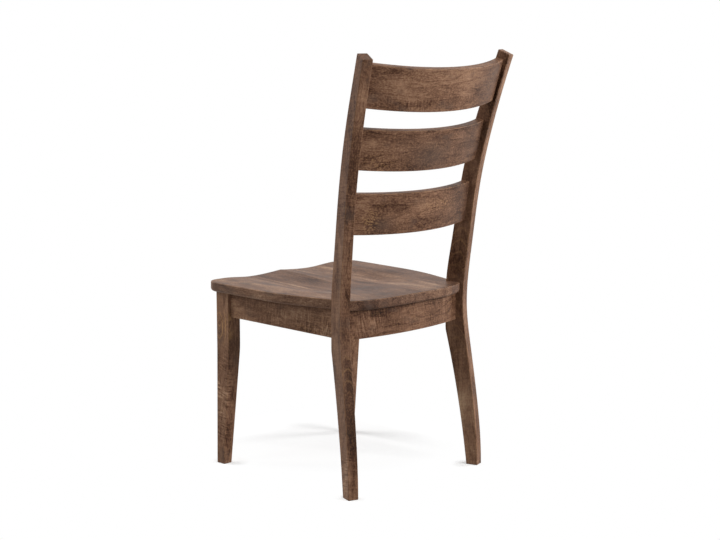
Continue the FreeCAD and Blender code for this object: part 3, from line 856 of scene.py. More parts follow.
@dataclass
class StraightAprons:
    """The two side aprons and the front apron."""

    plan: ChairPlan
    front_height: float = 61.3
    easing: float = 1.2
    step_count: int = 60

    def side_line(self, depth: Any) -> tuple[Any, Any, Any, Any]:
        """Ends of the left side apron at a depth inside its outer face.

        Args:
            depth: Distance inside the outer face.

        Returns:
            X and Y at the front leg, then X and Y at the rear leg.
        """
        plan = self.plan
        start = np.array((plan.front_leg_half_span - plan.apron_recess,
                          plan.front_leg_depth - plan.frame_depth))
        stop = np.array(plan.leg_point(0, plan.apron_rear_recess))
        along = (stop - start) / np.linalg.norm(stop - start)
        inward = np.array((-along[1], along[0]))
        corner = np.array(plan.leg_point(0, 0))
        across = np.array(plan.leg_point(0, plan.rear_leg_thickness)) - corner
        x = start[0] + inward[0] * depth
        y = start[1] + inward[1] * depth
        to_front = (start[1] - y) / along[1]
        turned = along[1] * across[0] - along[0] * across[1]
        to_rear = ((x - corner[0]) * across[1] - (y - corner[1]) * across[0]) / turned
        return x + along[0] * to_front, start[1] + 0 * y, x + along[0] * to_rear, y + along[1] * to_rear

    def section(self, height: float) -> tuple[np.ndarray, np.ndarray]:
        """Section of an apron, whose lower corners are eased.

        Args:
            height: The apron's height.

        Returns:
            The section's points, and their distances from the lower edges.
        """
        radii = (self.easing, self.easing, LEAST_RADIUS, LEAST_RADIUS)
        points = rounded_section(self.plan.apron_thickness, height, radii)
        return points, edge_distance(points[:, 1], 2 * height, points[:, 0], self.plan.apron_thickness)

    def side_shape(self, side: Side) -> Shape:
        """Skin of one side apron.

        Args:
            side: Which apron.

        Returns:
            The apron, its grain running front to back.
        """
        plan = self.plan
        height = plan.side_apron_height_front
        section, edge = self.section(height)
        in_lower_half = section[:, 1] < height / 2
        x0, y0, x1, y1 = self.side_line(section[:, 0])
        front_low = plan.underside_at(y0[0]) - height
        climb = (plan.underside_height - plan.side_apron_height_rear - front_low) / -y0[0]
        rings, grain = [], []
        for share in np.linspace(0, 1, self.step_count + 1):
            x = x0 + (x1 - x0) * share
            y = y0 + (y1 - y0) * share
            low, top = front_low + climb * (y - y0[0]), plan.underside_at(y)
            z = np.where(in_lower_half, low + section[:, 1], top - (height - section[:, 1]))
            rings.append(np.column_stack([x * side.value, y, z]))
            grain.append(np.column_stack([z, section[:, 0], y]))
        return lofted(np.array(rings), np.array(grain), np.tile(edge, len(rings)))

    def front_shape(self) -> Shape:
        """Skin of the front apron.

        Returns:
            The apron, its grain running across the chair.
        """
        plan = self.plan
        section, edge = self.section(self.front_height)
        in_lower_half = section[:, 1] < self.front_height / 2
        half = plan.front_leg_half_span - plan.front_leg_width
        face = -plan.frame_depth + plan.apron_recess
        y = face + section[:, 0]
        low, top = plan.underside_at(face) - self.front_height, plan.underside_at(y)
        z = np.where(in_lower_half, low + section[:, 1], top - (self.front_height - section[:, 1]))
        rings, grain = [], []
        for x in np.linspace(-half, half, self.step_count + 1):
            across = np.full(len(y), x)
            rings.append(np.column_stack([across, y, z]))
            grain.append(np.column_stack([z, section[:, 0], across]))
        return lofted(np.array(rings), np.array(grain), np.tile(edge, len(rings)))

    def build(self, material: Material, side_figures: dict[Side, Figure], front: Figure) -> None:
        """Make and dress the three aprons.

        Args:
            material: Their finish.
            side_figures: What each side apron's wood looks like.
            front: What the front apron's wood looks like.
        """
        aprons = [(f"apron_{side.label}", self.side_shape(side), side_figures[side]) for side in Side]
        for node, shape, figure in [*aprons, ("apron_front", self.front_shape(), front)]:
            finished(node, "planed", mesh_of(node, shape, self.plan), figure, material)


@dataclass
class BentBoard:
    """One board bent round a form: its sizes, and where its left end meets the post.

    The radius is that of its inner face, and the overrun is what the posts' faces cut off again.
    """

    node: str
    radius: float
    thickness: float
    height: float
    easing: float
    end: tuple[float, float, float]
    rake: float = 0.0
    overrun: float = 14.0


class BentBoardTree:
    """Geometry nodes that bend a board with eased edges round a form and stand it in its place."""

    SOCKETS = (
        ("Radius", "NodeSocketFloat", 0.48),
        ("Thickness", "NodeSocketFloat", 0.019),
        ("Height", "NodeSocketFloat", 0.094),
        ("Half Angle", "NodeSocketFloat", 0.45),
        ("Easing", "NodeSocketFloat", 0.002),
        ("Arc Steps", "NodeSocketInt", 96),
        ("Face Steps", "NodeSocketInt", 11),
        ("Rake", "NodeSocketFloat", 0.0),
        ("Place", "NodeSocketVector", (0.0, 0.0, 0.0)),
        ("Material", "NodeSocketMaterial", None),
    )
    CORNER_STEPS = 3

    def __init__(self) -> None:
        """Build the tree once, for every bent board of the chair."""
        self.tree = bpy.data.node_groups.new("bent_board", "GeometryNodeTree")
        self.sockets: dict[str, str] = {}
        face = self.tree.interface
        for name, kind, default in self.SOCKETS:
            socket = face.new_socket(name, in_out="INPUT", socket_type=kind)
            if default is not None:
                socket.default_value = default
            self.sockets[name] = socket.identifier
        face.new_socket("Geometry", in_out="OUTPUT", socket_type="NodeSocketGeometry")
        self._wire()

    def _wire(self) -> None:
        """Add and link the nodes."""
        tree = self.tree
        given = add_node(tree, "NodeGroupInput").node.outputs
        start = add_node(tree, MATHS, {0: QUARTER_TURN, 1: given["Half Angle"]}, operation="SUBTRACT")
        sweep = add_node(tree, MATHS, {0: given["Half Angle"], 1: 2.0}, operation="MULTIPLY")
        middle = add_node(tree, MATHS, {0: given["Thickness"], 1: 0.5, 2: given["Radius"]},
                          operation="MULTIPLY_ADD")
        arc = add_node(tree, "GeometryNodeCurveArc",
                       {"Resolution": given["Arc Steps"], "Radius": middle, "Start Angle": start,
                        "Sweep Angle": sweep}, mode="RADIUS")
        level = add_node(tree, "GeometryNodeSetCurveNormal", {"Curve": arc}, mode="Z_UP")
        board = add_node(tree, "GeometryNodeCurveToMesh",
                         {"Curve": level, "Profile Curve": self._section(given), "Fill Caps": True})
        grained = self._with_grain(board, given)
        turn = add_node(tree, "ShaderNodeCombineXYZ", {"X": given["Rake"]})
        stood = add_node(tree, "GeometryNodeTransform",
                         {"Geometry": grained, "Translation": given["Place"], "Rotation": turn})
        real = add_node(tree, "GeometryNodeRealizeInstances", {0: stood})
        dressed = add_node(tree, "GeometryNodeSetMaterial",
                           {"Geometry": real, "Material": given["Material"]})
        add_node(tree, "NodeGroupOutput", {0: dressed})

    def _section(self, given: Any) -> NodeSocket:
        """Draw the board's section: a rectangle with divided faces and eased corners.

        Args:
            given: The tree's inputs, by name.

        Returns:
            The section's curve.
        """
        tree = self.tree
        box = add_node(tree, "GeometryNodeCurvePrimitiveQuadrilateral",
                       {"Width": given["Thickness"], "Height": given["Height"]}, mode="RECTANGLE")
        divided = add_node(tree, "GeometryNodeSubdivideCurve", {"Curve": box, "Cuts": given["Face Steps"]})
        index = add_node(tree, "GeometryNodeInputIndex")
        parts = add_node(tree, "FunctionNodeIntegerMath", {0: given["Face Steps"], 1: 1}, operation="ADD")
        beside = add_node(tree, "FunctionNodeIntegerMath", {0: index, 1: parts}, operation="MODULO")
        # A Compare node takes whole numbers at its sockets 2 and 3
        corner = add_node(tree, "FunctionNodeCompare", {2: beside, 3: 0}, data_type="INT", operation="EQUAL")
        radius = add_node(tree, MATHS, {0: corner, 1: given["Easing"]}, operation="MULTIPLY")
        return add_node(tree, "GeometryNodeFilletCurve",
                        {"Curve": divided, "Radius": radius, "Count": self.CORNER_STEPS}, mode="POLY")

    def _with_grain(self, board: NodeSocket, given: Any) -> NodeSocket:
        """Store how far each point lies across, through and along the bent wood, in millimetres.

        Args:
            board: The bent board.
            given: The tree's inputs, by name.

        Returns:
            The board with its grain attribute.
        """
        tree = self.tree
        place = add_node(tree, "GeometryNodeInputPosition")
        parts = add_node(tree, "ShaderNodeSeparateXYZ", {0: place}).node.outputs
        flat = add_node(tree, VECTOR_MATHS, {0: place, 1: (1.0, 1.0, 0.0)}, operation="MULTIPLY")
        from_axis = add_node(tree, VECTOR_MATHS, {0: flat}, "Value", operation="LENGTH")
        through = add_node(tree, MATHS, {0: from_axis, 1: given["Radius"]}, operation="SUBTRACT")
        angle = add_node(tree, MATHS, {0: parts["X"], 1: parts["Y"]}, operation="ARCTAN2")
        along = add_node(tree, MATHS, {0: angle, 1: given["Radius"]}, operation="MULTIPLY")
        grain = add_node(tree, "ShaderNodeCombineXYZ", {"X": parts["Z"], "Y": through, "Z": along})
        scaled = add_node(tree, VECTOR_MATHS, {0: grain, "Scale": 1 / MM}, operation="SCALE")
        return add_node(tree, "GeometryNodeStoreNamedAttribute",
                        {"Geometry": board, "Name": GRAIN, "Value": scaled}, data_type="FLOAT_VECTOR",
                        domain="POINT")

    def bend(self, board: BentBoard, plan: ChairPlan, material: Material) -> Mesh:
        """Bend one board and stand it in its place.

        Args:
            board: The board's sizes.
            plan: The chair's plan.
            material: Its finish.

        Returns:
            A plain mesh, a little longer than the gap between the posts.
        """
        x, y, z = board.end
        on_form = math.sqrt(board.radius ** 2 - x ** 2)
        axis = (0.0, y - on_form * math.cos(board.rake), z + on_form * math.sin(board.rake))
        host = placed(board.node, bpy.data.meshes.new(board.node))
        modifier = host.modifiers.new("bend", "NODES")
        modifier.node_group = self.tree
        values = {
            "Radius": board.radius * MM,
            "Thickness": board.thickness * MM,
            "Height": board.height * MM,
            "Half Angle": math.asin((x + board.overrun) / board.radius),
            "Easing": board.easing * MM,
            "Rake": -board.rake,
            "Place": tuple(to_metres(np.array(axis), plan)),
            "Material": material,
        }
        for name, value in values.items():
            modifier[self.sockets[name]] = value
        mesh = settled(host)
        bpy.data.objects.remove(host)
        recalculated(mesh)
        across, through = grain_of(mesh)[:, :2].T
        rim = edge_distance(across + board.height / 2, board.height, through, board.thickness)
        write_values(mesh, RIM, rim)
        return mesh


@dataclass
class BentBoards:
    """The back slats and the rear apron, all bent and fitted between the rear legs."""

    plan: ChairPlan
    legs: RearLegs
    slat_radius: float = 480.0
    slat_thickness: float = 19.0
    slat_setback: float = 5.2
    slat_easing: float = 2.0
    slat_names: tuple[str, ...] = ("slat_top", "slat_middle", "slat_bottom")
    slat_drops: tuple[float, ...] = (67.0, 209.2, 359.3)
    slat_heights: tuple[float, ...] = (100.5, 95.5, 95.5)
    apron_radius: float = 740.0
    apron_setback: float = 27.3
    apron_height: float = 69.5
    apron_easing: float = 1.2

    def slats(self) -> list[BentBoard]:
        """Work out the slats, which lean as the posts' back edge does.

        Returns:
            The three slats, from the top one down.
        """
        front, back = self.legs.front_edge(), self.legs.back_edge()
        boards = []
        for name, drop, height in zip(self.slat_names, self.slat_drops, self.slat_heights):
            middle = self.plan.chair_height - drop
            low, high = setback_at(back, (middle - height / 2, middle + height / 2))
            setback = setback_at(front, middle) + self.slat_setback
            x, y = self.plan.leg_point(setback, self.plan.rear_leg_thickness)
            boards.append(BentBoard(name, self.slat_radius, self.slat_thickness, height, self.slat_easing,
                                    (x, y, middle), math.atan2(high - low, height)))
        return boards

    def apron(self) -> BentBoard:
        """Work out the rear apron, which follows the seat's rear edge.

        Returns:
            The apron, made too high, so that it can be cut to the seat's slope.
        """
        plan = self.plan
        x, y = plan.leg_point(self.apron_setback, plan.rear_leg_thickness)
        inner_radius = self.apron_radius - plan.apron_thickness
        axis = y - math.sqrt(self.apron_radius ** 2 - x ** 2)
        inner_y = axis + math.sqrt(inner_radius ** 2 - x ** 2)
        low = plan.underside_height - self.apron_height
        height = self.apron_height + plan.seat_thickness / 2
        return BentBoard("apron_rear", inner_radius, plan.apron_thickness, height, self.apron_easing,
                         (x, inner_y, low + height / 2))

    def fit(self, mesh: Mesh) -> None:
        """Saw a bent board off at the inner faces of both posts.

        Args:
            mesh: The board's mesh, which is changed.
        """
        for side in Side:
            inner = self.plan.leg_point(0, self.plan.rear_leg_thickness, side)
            outer = self.plan.leg_point(0, 0, side)
            point = to_metres(np.array((*inner, 0.0)), self.plan)
            normal = np.subtract(outer, inner) / self.plan.rear_leg_thickness
            trimmed(mesh, Vector(point), Vector((*normal, 0.0)))

    def build(self, material: Material, figures: dict[str, Figure]) -> None:
        """Make and dress the slats and the rear apron.

        Args:
            material: Their finish.
            figures: What each board's wood looks like, by its CAD node.
        """
        tree = BentBoardTree()
        for board in [*self.slats(), self.apron()]:
            mesh = tree.bend(board, self.plan, material)
            self.fit(mesh)
            if board.node == "apron_rear":
                under = to_metres(np.array((0.0, 0.0, self.plan.underside_height)), self.plan)
                slope = Vector((0.0, -self.plan.seat_rise / self.plan.seat_front, 1.0)).normalized()
                trimmed(mesh, Vector(under), slope)
            finished(board.node, "bent", mesh, figures[board.node], material)


@dataclass
class Seat:
    """The scooped seat, glued up from four boards whose grain runs front to back."""

    plan: ChairPlan
    legs: RearLegs
    half_width: float = 245.0
    corner_radius: float = 34.0
    side_shape: tuple[tuple[float, float], ...] = ((0.32, 0.03), (0.61, 0.17), (0.80, 0.51))
    rear_bow: float = 34.1
    rear_shape: tuple[tuple[float, float], ...] = ((0.58, 0.86), (0.82, 0.58))
    rear_setback: float = 36.2
    bite: float = 4.0
    top_easing: float = 2.5
    bottom_easing: float = 8.0
    joints: tuple[float, ...] = (-136.0, -30.0, 117.0)
    scoop_front_depth: float = 5.4
    scoop_depth: float = 11.0
    scoop_deepest: float = 0.55
    scoop_half_width: float = 190.0
    scoop_rear_margin: float = 48.0
    scoop_rear_narrowing: float = 0.35
    pommel_fade: float = 0.90
    notch_clearance: float = 0.3
    side_samples: int = 90
    rear_samples: int = 89
    front_samples: int = 38
    corner_samples: int = 13
    notch_samples: int = 9
    under_middle: float = 0.02
    under_rings: int = 9
    easing_rings: int = 7
    edge_levels: tuple[float, ...] = (0.25, 0.5, 0.75)
    top_middle: float = 0.01
    top_rings: int = 44

    def outline(self) -> np.ndarray:
        """Draw the seat's outline, seen from above.

        Returns:
            Closed outline, counter-clockwise from the middle of the front edge.
        """
        plan = self.plan
        side_front = np.array((self.half_width, plan.seat_front + self.corner_radius))
        side_rear = np.array(plan.leg_point(self.bite, self.bite))
        length = side_rear[1] - side_front[1]
        narrowing = self.half_width - side_rear[0]
        side = [tuple(side_front)]
        side += [(self.half_width - inset * narrowing, side_front[1] + share * length)
                 for share, inset in self.side_shape]
        side.append(tuple(side_rear))
        left_side = smooth_curve(side, (0, 1), np.subtract(side[-1], side[-2]), self.side_samples)

        rear_end = plan.leg_point(self.rear_setback, plan.rear_leg_thickness - self.bite)
        face_x, face_y = plan.leg_point(self.rear_setback, plan.rear_leg_thickness)
        left_half = [rear_end] + [(share * face_x, face_y + bow * self.rear_bow)
                                  for share, bow in self.rear_shape[::-1]]
        right_half = [(-x, y) for x, y in left_half[::-1]]
        whole = left_half + [(0.0, face_y + self.rear_bow)] + right_half
        rear = smooth_curve(whole, samples=self.rear_samples)

        turns = np.linspace(-QUARTER_TURN, 0, self.corner_samples)
        corner = np.column_stack([self.half_width - self.corner_radius * (1 - np.cos(turns)),
                                  side_front[1] + self.corner_radius * np.sin(turns)])
        front_x = np.linspace(0, corner[0, 0], self.front_samples)
        front = np.column_stack([front_x, np.full(self.front_samples, plan.seat_front)])
        notch = np.linspace(left_side[-1], rear[0], self.notch_samples)
        rear_half = rear[1:(self.rear_samples + 1) // 2]
        left = np.vstack([front, corner[1:], left_side[1:], notch[1:], rear_half])
        right = left[1:-1][::-1] * (-1, 1)
        return np.vstack([left, right])

    def inset(self, outline: np.ndarray, distance: float) -> np.ndarray:
        """Draw the outline in along its mitres.

        Args:
            outline: The closed outline.
            distance: How far it is drawn in.

        Returns:
            The smaller outline, point for point.
        """
        ahead = np.roll(outline, -1, axis=0) - outline
        behind = outline - np.roll(outline, 1, axis=0)
        ahead /= np.linalg.norm(ahead, axis=1)[:, None]
        behind /= np.linalg.norm(behind, axis=1)[:, None]
        left_ahead = np.column_stack([-ahead[:, 1], ahead[:, 0]])
        left_behind = np.column_stack([-behind[:, 1], behind[:, 0]])
        mitre = left_ahead + left_behind
        return outline + mitre * distance / (1 + np.sum(left_ahead * left_behind, axis=1))[:, None]

    def top_at(self, x: np.ndarray, y: np.ndarray) -> np.ndarray:
        """Shape the scooped top, a bowl that is deepest behind its middle and has a pommel in front.

        Args:
            x: Places across the seat.
            y: Places from front to back.

        Returns:
            Height of the top at each place.
        """
        plan = self.plan
        rim = plan.underside_at(y) + plan.seat_thickness
        rear_y = plan.leg_point(self.rear_setback, plan.rear_leg_thickness)[1]
        rear = rear_y + self.rear_bow - self.scoop_rear_margin
        along = (y - plan.seat_front) / (rear - plan.seat_front)
        deepening = eased(along / self.scoop_deepest)
        rising = eased((along - self.scoop_deepest) / (1 - self.scoop_deepest))
        fore = self.scoop_front_depth + (self.scoop_depth - self.scoop_front_depth) * deepening
        depth = np.where(along < self.scoop_deepest, fore, self.scoop_depth * (1 - rising))
        half_width = self.scoop_half_width * (1 - self.scoop_rear_narrowing * rising)
        fade = self.pommel_fade * deepening
        across = np.minimum(np.abs(x) / half_width, 1)
        inner = fade + (1 - fade) * np.sin(math.pi * across)
        outer = (1 - np.cos(2 * math.pi * across)) / 2
        return np.where(along >= 1, rim, rim - depth * np.where(across < 0.5, inner, outer))

    def shape(self) -> Shape:
        """Skin of the whole seat before it is notched and cut at its glue lines.

        Returns:
            The seat, its grain running front to back.
        """
        outline = self.outline()
        edge_top = self.top_at(*outline.T)
        centre = np.array((0.0, (outline[:, 1].min() + outline[:, 1].max()) / 2))
        turns = np.linspace(0, QUARTER_TURN, self.easing_rings)
        low, high = self.inset(outline, self.bottom_easing), self.inset(outline, self.top_easing)
        levels = []
        for share in np.linspace(self.under_middle, 1, self.under_rings)[:-1]:
            points = centre + (low - centre) * share
            levels.append((points, self.plan.underside_at(points[:, 1])))
        for turn in turns:
            points = self.inset(outline, self.bottom_easing * (1 - math.sin(turn)))
            climb = self.bottom_easing * (1 - math.cos(turn))
            levels.append((points, self.plan.underside_at(points[:, 1]) + climb))
        edge_low = self.plan.underside_at(outline[:, 1]) + self.bottom_easing
        edge_high = edge_top - self.top_easing
        levels += [(outline, edge_low + (edge_high - edge_low) * share) for share in self.edge_levels]
        for turn in turns:
            points = self.inset(outline, self.top_easing * (1 - math.cos(turn)))
            levels.append((points, self.top_at(*points.T) - self.top_easing * (1 - math.sin(turn))))
        for share in np.linspace(1, self.top_middle, self.top_rings)[1:]:
            points = centre + (high - centre) * share
            levels.append((points, self.top_at(*points.T)))
        rings = np.array([np.column_stack(level) for level in levels])
        rim = [np.maximum(np.linalg.norm(points - outline, axis=1), edge_top - height)
               for points, height in levels]
        return lofted(rings, rings[:, :, (0, 2, 1)], np.array(rim))

    def notched(self, mesh: Mesh) -> Mesh:
        """Cut the seat's notches round both rear legs.

        Args:
            mesh: The whole seat's mesh.

        Returns:
            A new mesh of the notched seat.
        """
        seat = placed("seat_blank", mesh)
        for side in Side:
            cutter_mesh = mesh_of("notch", self.legs.shape(side, self.notch_clearance), self.plan)
            recalculated(cutter_mesh)
            cutter = placed("notch", cutter_mesh)
            cut = seat.modifiers.new("notch", "BOOLEAN")
            cut.operation = "DIFFERENCE"
            cut.solver = "EXACT"
            cut.object = cutter
            seat.data = settled(seat)
            seat.modifiers.clear()
            bpy.data.objects.remove(cutter)
        notched = seat.data
        bpy.data.objects.remove(seat)
        return notched

    def build(self, material: Material, figures: Sequence[Figure]) -> None:
        """Make and dress the four boards, from the sitter's right to the left.

        Args:
            material: Their finish.
            figures: What each board's wood looks like.
        """
        whole = mesh_of("seat", self.shape(), self.plan)
        recalculated(whole)
        whole = self.notched(whole)
        lows, highs = (None, *self.joints), (*self.joints, None)
        for number, (low, high, figure) in enumerate(zip(lows, highs, figures), start=1):
            mesh = whole.copy()
            for joint, way in ((low, -1), (high, 1)):
                if joint is not None:
                    trimmed(mesh, Vector((joint * MM, 0, 0)), Vector((way, 0, 0)))
            finished(f"seat_board_{number}", "scooped", mesh, figure, material)


@dataclass(frozen=True)
class Layer:
    """One noise pattern in the stain: its cell in millimetres across and along the wood, and its weight."""

    across: float
    along: float
    weight: float = 1.0
    detail: float = 2.0
    roughness: float = 0.6

    def add(self, tree: NodeTree, place: NodeSocket) -> NodeSocket:
        """Add the pattern, drawn from its own part of the noise.

        Args:
            tree: The material's tree.
            place: The grain's directions, in millimetres.

        Returns:
            The pattern, from 0 to 1.
        """
        start = self.across + self.along
        scaled = add_node(tree, "ShaderNodeMapping",
                          {"Vector": place, "Location": (start, 2 * start, 3 * start),
                           "Scale": (1 / self.across, 1 / self.across, 1 / self.along)})
        return add_node(tree, NOISE, {"Vector": scaled, "Scale": 1.0, "Detail": self.detail,
                                      "Roughness": self.roughness})


@dataclass(frozen=True)
class StainedMaple:
    """Brown stain on blotchy maple under satin lacquer.

    Warm walnut brown that clouds darker and lighter, with short golden flecks, dark pores and curl across
    the grain, and edges rubbed lighter, which is wear and also a painted highlight along the eased edges.
    Grey clouds it here and there, and where a board carries more of that grey it is a painted grey sheen.
    The lacquer adds a soft grey sheen at low angles. Satin lacquer's roughness is about 0.4 to 0.5 and its
    IOR 1.4 to 1.5. Real pores and flecks are finer than the picture can show, so streaks, mottle and flecks
    are drawn at two to four millimetres across.
    """

    name: str = "stained_maple"
    shades: tuple[tuple[float, str], ...] = (
        (0.0, "#180b06"), (0.25, "#3c2418"), (0.5, "#664938"), (0.75, "#886852"), (1.0, "#ae9075"))
    # Grey clouding colour: the wood's own clouds, and a painted grey sheen where boards carry more of it
    smoke: str = "#493a33"
    gold: str = "#a88158"
    wear_and_highlight: str = "#a07a5c"
    roughness: float = 0.46
    ior: float = 1.42
    specular: float = 0.1
    base_shade: float = 0.488
    wander: tuple[float, float, float] = (14.0, 14.0, 6.0)
    wander_scale: float = 0.014
    wander_detail: float = 2.0
    clouds: Layer = Layer(26.0, 80.0, 0.5, roughness=0.45)
    patches: Layer = Layer(62.0, 150.0, 0.5)
    streaks: Layer = Layer(2.6, 60.0, 0.46)
    mottle: Layer = Layer(5.0, 15.0, 0.34)
    flecks: Layer = Layer(2.9, 5.0, 0.46, detail=1.0)
    rings: Layer = Layer(46.0, 300.0, -0.11, detail=1.0)
    ring_count: float = 8.0
    ring_share: tuple[float, float] = (0.62, 1.0)
    curl_slant: float = 0.18
    curl_lines: Layer = Layer(30.0, 3.6, detail=1.0)
    curl_contrast: tuple[float, float] = (0.32, 0.68)
    curl_strength: float = 0.16
    curl_places: Layer = Layer(30.0, 34.0, detail=1.0)
    curl_share: tuple[float, float] = (0.3, 0.56)
    smoke_places: Layer = Layer(38.0, 70.0, 0.5, roughness=0.5)
    smoke_share: tuple[float, float] = (0.56, 0.74)
    gold_share: tuple[float, float] = (0.42, 0.74)
    arch_spacing: float = 30.0
    arch_wave: float = 2.4
    arch_share: tuple[float, float] = (0.7, 1.0)
    # Edges rubbed lighter: wear, and a painted highlight along the eased edges
    wear_and_highlight_width: tuple[float, float] = (2.8, 0.7)
    wear_and_highlight_share: tuple[float, float] = (0.3, 0.7)
    wear_and_highlight_strength: float = 0.34
    gloss_change: float = 0.22
    relief: float = 0.35
    pore_depth: float = 0.04

    def build(self) -> Material:
        """Make the material.

        Returns:
            The material, which reads what the points of each board carry.
        """
        material = bpy.data.materials.new(self.name)
        tree = empty_tree(material)
        given = {name: add_node(tree, ATTRIBUTE, None, "Fac", attribute_name=name) for name in POINT_VALUES}
        grain = add_node(tree, ATTRIBUTE, None, "Vector", attribute_name=GRAIN)
        bent = add_node(tree, NOISE, {"Vector": grain, "Scale": self.wander_scale,
                                      "Detail": self.wander_detail}, "Color")
        place = add_node(tree, VECTOR_MATHS, {0: bent, 1: self.wander, 2: grain}, operation="MULTIPLY_ADD")
        fine = [layer.add(tree, place) for layer in (self.streaks, self.mottle, self.flecks)]
        streaks, mottle, flecks = fine
        shade = self._shade(tree, grain, place, fine, given)
        ramp = add_node(tree, "ShaderNodeValToRGB", {0: shade})
        points = ramp.node.color_ramp.elements
        while len(points) < len(self.shades):
            points.new(1.0)
        for point, (position, colour) in zip(points, self.shades):
            point.position = position
            point.color = linear(colour)
        colour = self._stained(tree, place, ramp, (mottle, flecks), given)
        colour = self._rubbed_and_highlit(tree, colour, mottle, given[RIM])
        gloss = add_node(tree, MATHS, {0: mottle, 1: self.gloss_change,
                                       2: self.roughness - self.gloss_change / 2}, operation="MULTIPLY_ADD")
        height = add_node(tree, MATHS, {0: streaks, 1: flecks}, operation="ADD")
        relief = add_node(tree, "ShaderNodeBump",
                          {"Height": height, "Strength": self.relief, "Distance": self.pore_depth * MM})
        surface = add_node(tree, "ShaderNodeBsdfPrincipled",
                           {"Base Color": colour, "Roughness": gloss, "IOR": self.ior,
                            "Specular IOR Level": self.specular, "Normal": relief})
        add_node(tree, "ShaderNodeOutputMaterial", {0: surface})
        return material

    def _bands(self, tree: NodeTree, grain: NodeSocket) -> NodeSocket:
        """Draw fine bands of curl that cross the grain at a slant.

        Args:
            tree: The material's tree.
            grain: The grain's directions.

        Returns:
            The bands, from -1 to 1.
        """
        parts = add_node(tree, "ShaderNodeSeparateXYZ", {0: grain}).node.outputs
        side = add_node(tree, MATHS, {0: parts["Y"], 1: parts["X"]}, operation="SUBTRACT")
        slanted = add_node(tree, MATHS, {0: side, 1: self.curl_slant, 2: parts["Z"]},
                           operation="MULTIPLY_ADD")
        place = add_node(tree, "ShaderNodeCombineXYZ", {0: parts["X"], 1: parts["Y"], 2: slanted})
        return add_node(tree, MAP_RANGE, {"Value": self.curl_lines.add(tree, place),
                                          **between(self.curl_contrast), "To Min": -1.0})

    def _summed(self, tree: NodeTree, layers: Sequence[Layer], patterns: Sequence[NodeSocket],
                middle: float) -> NodeSocket:
        """Add up weighted patterns.

        Args:
            tree: The material's tree.
            layers: The layers, for their weights.
            patterns: The layers' patterns, from 0 to 1.
            middle: The value that the sum keeps to on average.

        Returns:
            The sum.
        """
        total = middle - sum(layer.weight for layer in layers) / 2
        for layer, pattern in zip(layers, patterns):
            total = add_node(tree, MATHS, {0: pattern, 1: layer.weight, 2: total}, operation="MULTIPLY_ADD")
        return total

    def _shade(self, tree: NodeTree, grain: NodeSocket, place: NodeSocket, fine: Sequence[NodeSocket],
               given: dict[str, NodeSocket]) -> NodeSocket:
        """Add up how dark or light the stain took, with the painted shade that some boards carry.

        Args:
            tree: The material's tree.
            grain: The grain's directions.
            place: The same directions, wandering a little.
            fine: The streaks, the mottle and the flecks.
            given: What the board's points carry, by name.

        Returns:
            The place on the ramp of shades.
        """
        small = self._summed(tree, (self.streaks, self.mottle, self.flecks), fine, 0.0)
        broad = (self.clouds, self.patches)
        large = self._summed(tree, broad, [layer.add(tree, place) for layer in broad], self.base_shade)
        shade = add_node(tree, MATHS, {0: small, 1: given[FINE], 2: large}, operation="MULTIPLY_ADD")
        turns = add_node(tree, MATHS, {0: self.rings.add(tree, place), 1: self.ring_count * math.tau},
                         operation="MULTIPLY")
        waves = add_node(tree, MATHS, {0: turns}, operation="SINE")
        lines = add_node(tree, MAP_RANGE, {"Value": waves, **between(self.ring_share)}, **SMOOTH)
        shade = add_node(tree, MATHS, {0: lines, 1: self.rings.weight, 2: shade}, operation="MULTIPLY_ADD")
        shown = add_node(tree, MAP_RANGE, {"Value": self.curl_places.add(tree, grain),
                                           **between(self.curl_share), "To Max": self.curl_strength},
                         **SMOOTH)
        curl = add_node(tree, MATHS, {0: given[CURL], 1: shown}, operation="MULTIPLY")
        bands = self._bands(tree, grain)
        shade = add_node(tree, MATHS, {0: bands, 1: curl, 2: shade}, operation="MULTIPLY_ADD")
        # The stain values include painted shade on a few boards
        for name in (STAIN_AND_SHADE, TONE):
            shade = add_node(tree, MATHS, {0: shade, 1: given[name]}, operation="ADD")
        return shade

    def _stained(self, tree: NodeTree, place: NodeSocket, colour: NodeSocket,
                 patterns: Sequence[NodeSocket], given: dict[str, NodeSocket]) -> NodeSocket:
        """Lay grey clouds, golden flecks and golden arches over the stain; where a board carries more of the
        grey, it paints a grey sheen.

        Args:
            tree: The material's tree.
            place: The grain's directions, wandering a little.
            colour: The stain so far.
            patterns: The mottle, which makes the arches waver, and the flecks.
            given: What the board's points carry, by name.

        Returns:
            The colour.
        """
        mottle, flecks = patterns
        clouds = add_node(tree, MAP_RANGE, {"Value": self.smoke_places.add(tree, place),
                                            **between(self.smoke_share), "To Max": self.smoke_places.weight},
                          **SMOOTH)
        smoke_and_sheen_share = add_node(tree, MATHS, {0: clouds, 1: given[SMOKE_AND_SHEEN]}, operation="ADD", use_clamp=True)
        golden = add_node(tree, MAP_RANGE, {"Value": flecks, **between(self.gold_share),
                                            "To Max": given[GOLD]}, **SMOOTH)
        turns = add_node(tree, MATHS, {0: given[ARCH_PLACE], 1: math.tau / self.arch_spacing},
                         operation="MULTIPLY")
        waved = add_node(tree, MATHS, {0: mottle, 1: self.arch_wave, 2: turns}, operation="MULTIPLY_ADD")
        waves = add_node(tree, MATHS, {0: waved}, operation="SINE")
        lines = add_node(tree, MAP_RANGE, {"Value": waves, **between(self.arch_share)}, **SMOOTH)
        arched = add_node(tree, MATHS, {0: lines, 1: given[ARCH]}, operation="MULTIPLY")
        for share, over in ((smoke_and_sheen_share, self.smoke), (golden, self.gold), (arched, self.gold)):
            colour = add_node(tree, MIX, {0: share, UNDER: colour, OVER: linear(over)}, MIXED, **COLOURS)
        return colour

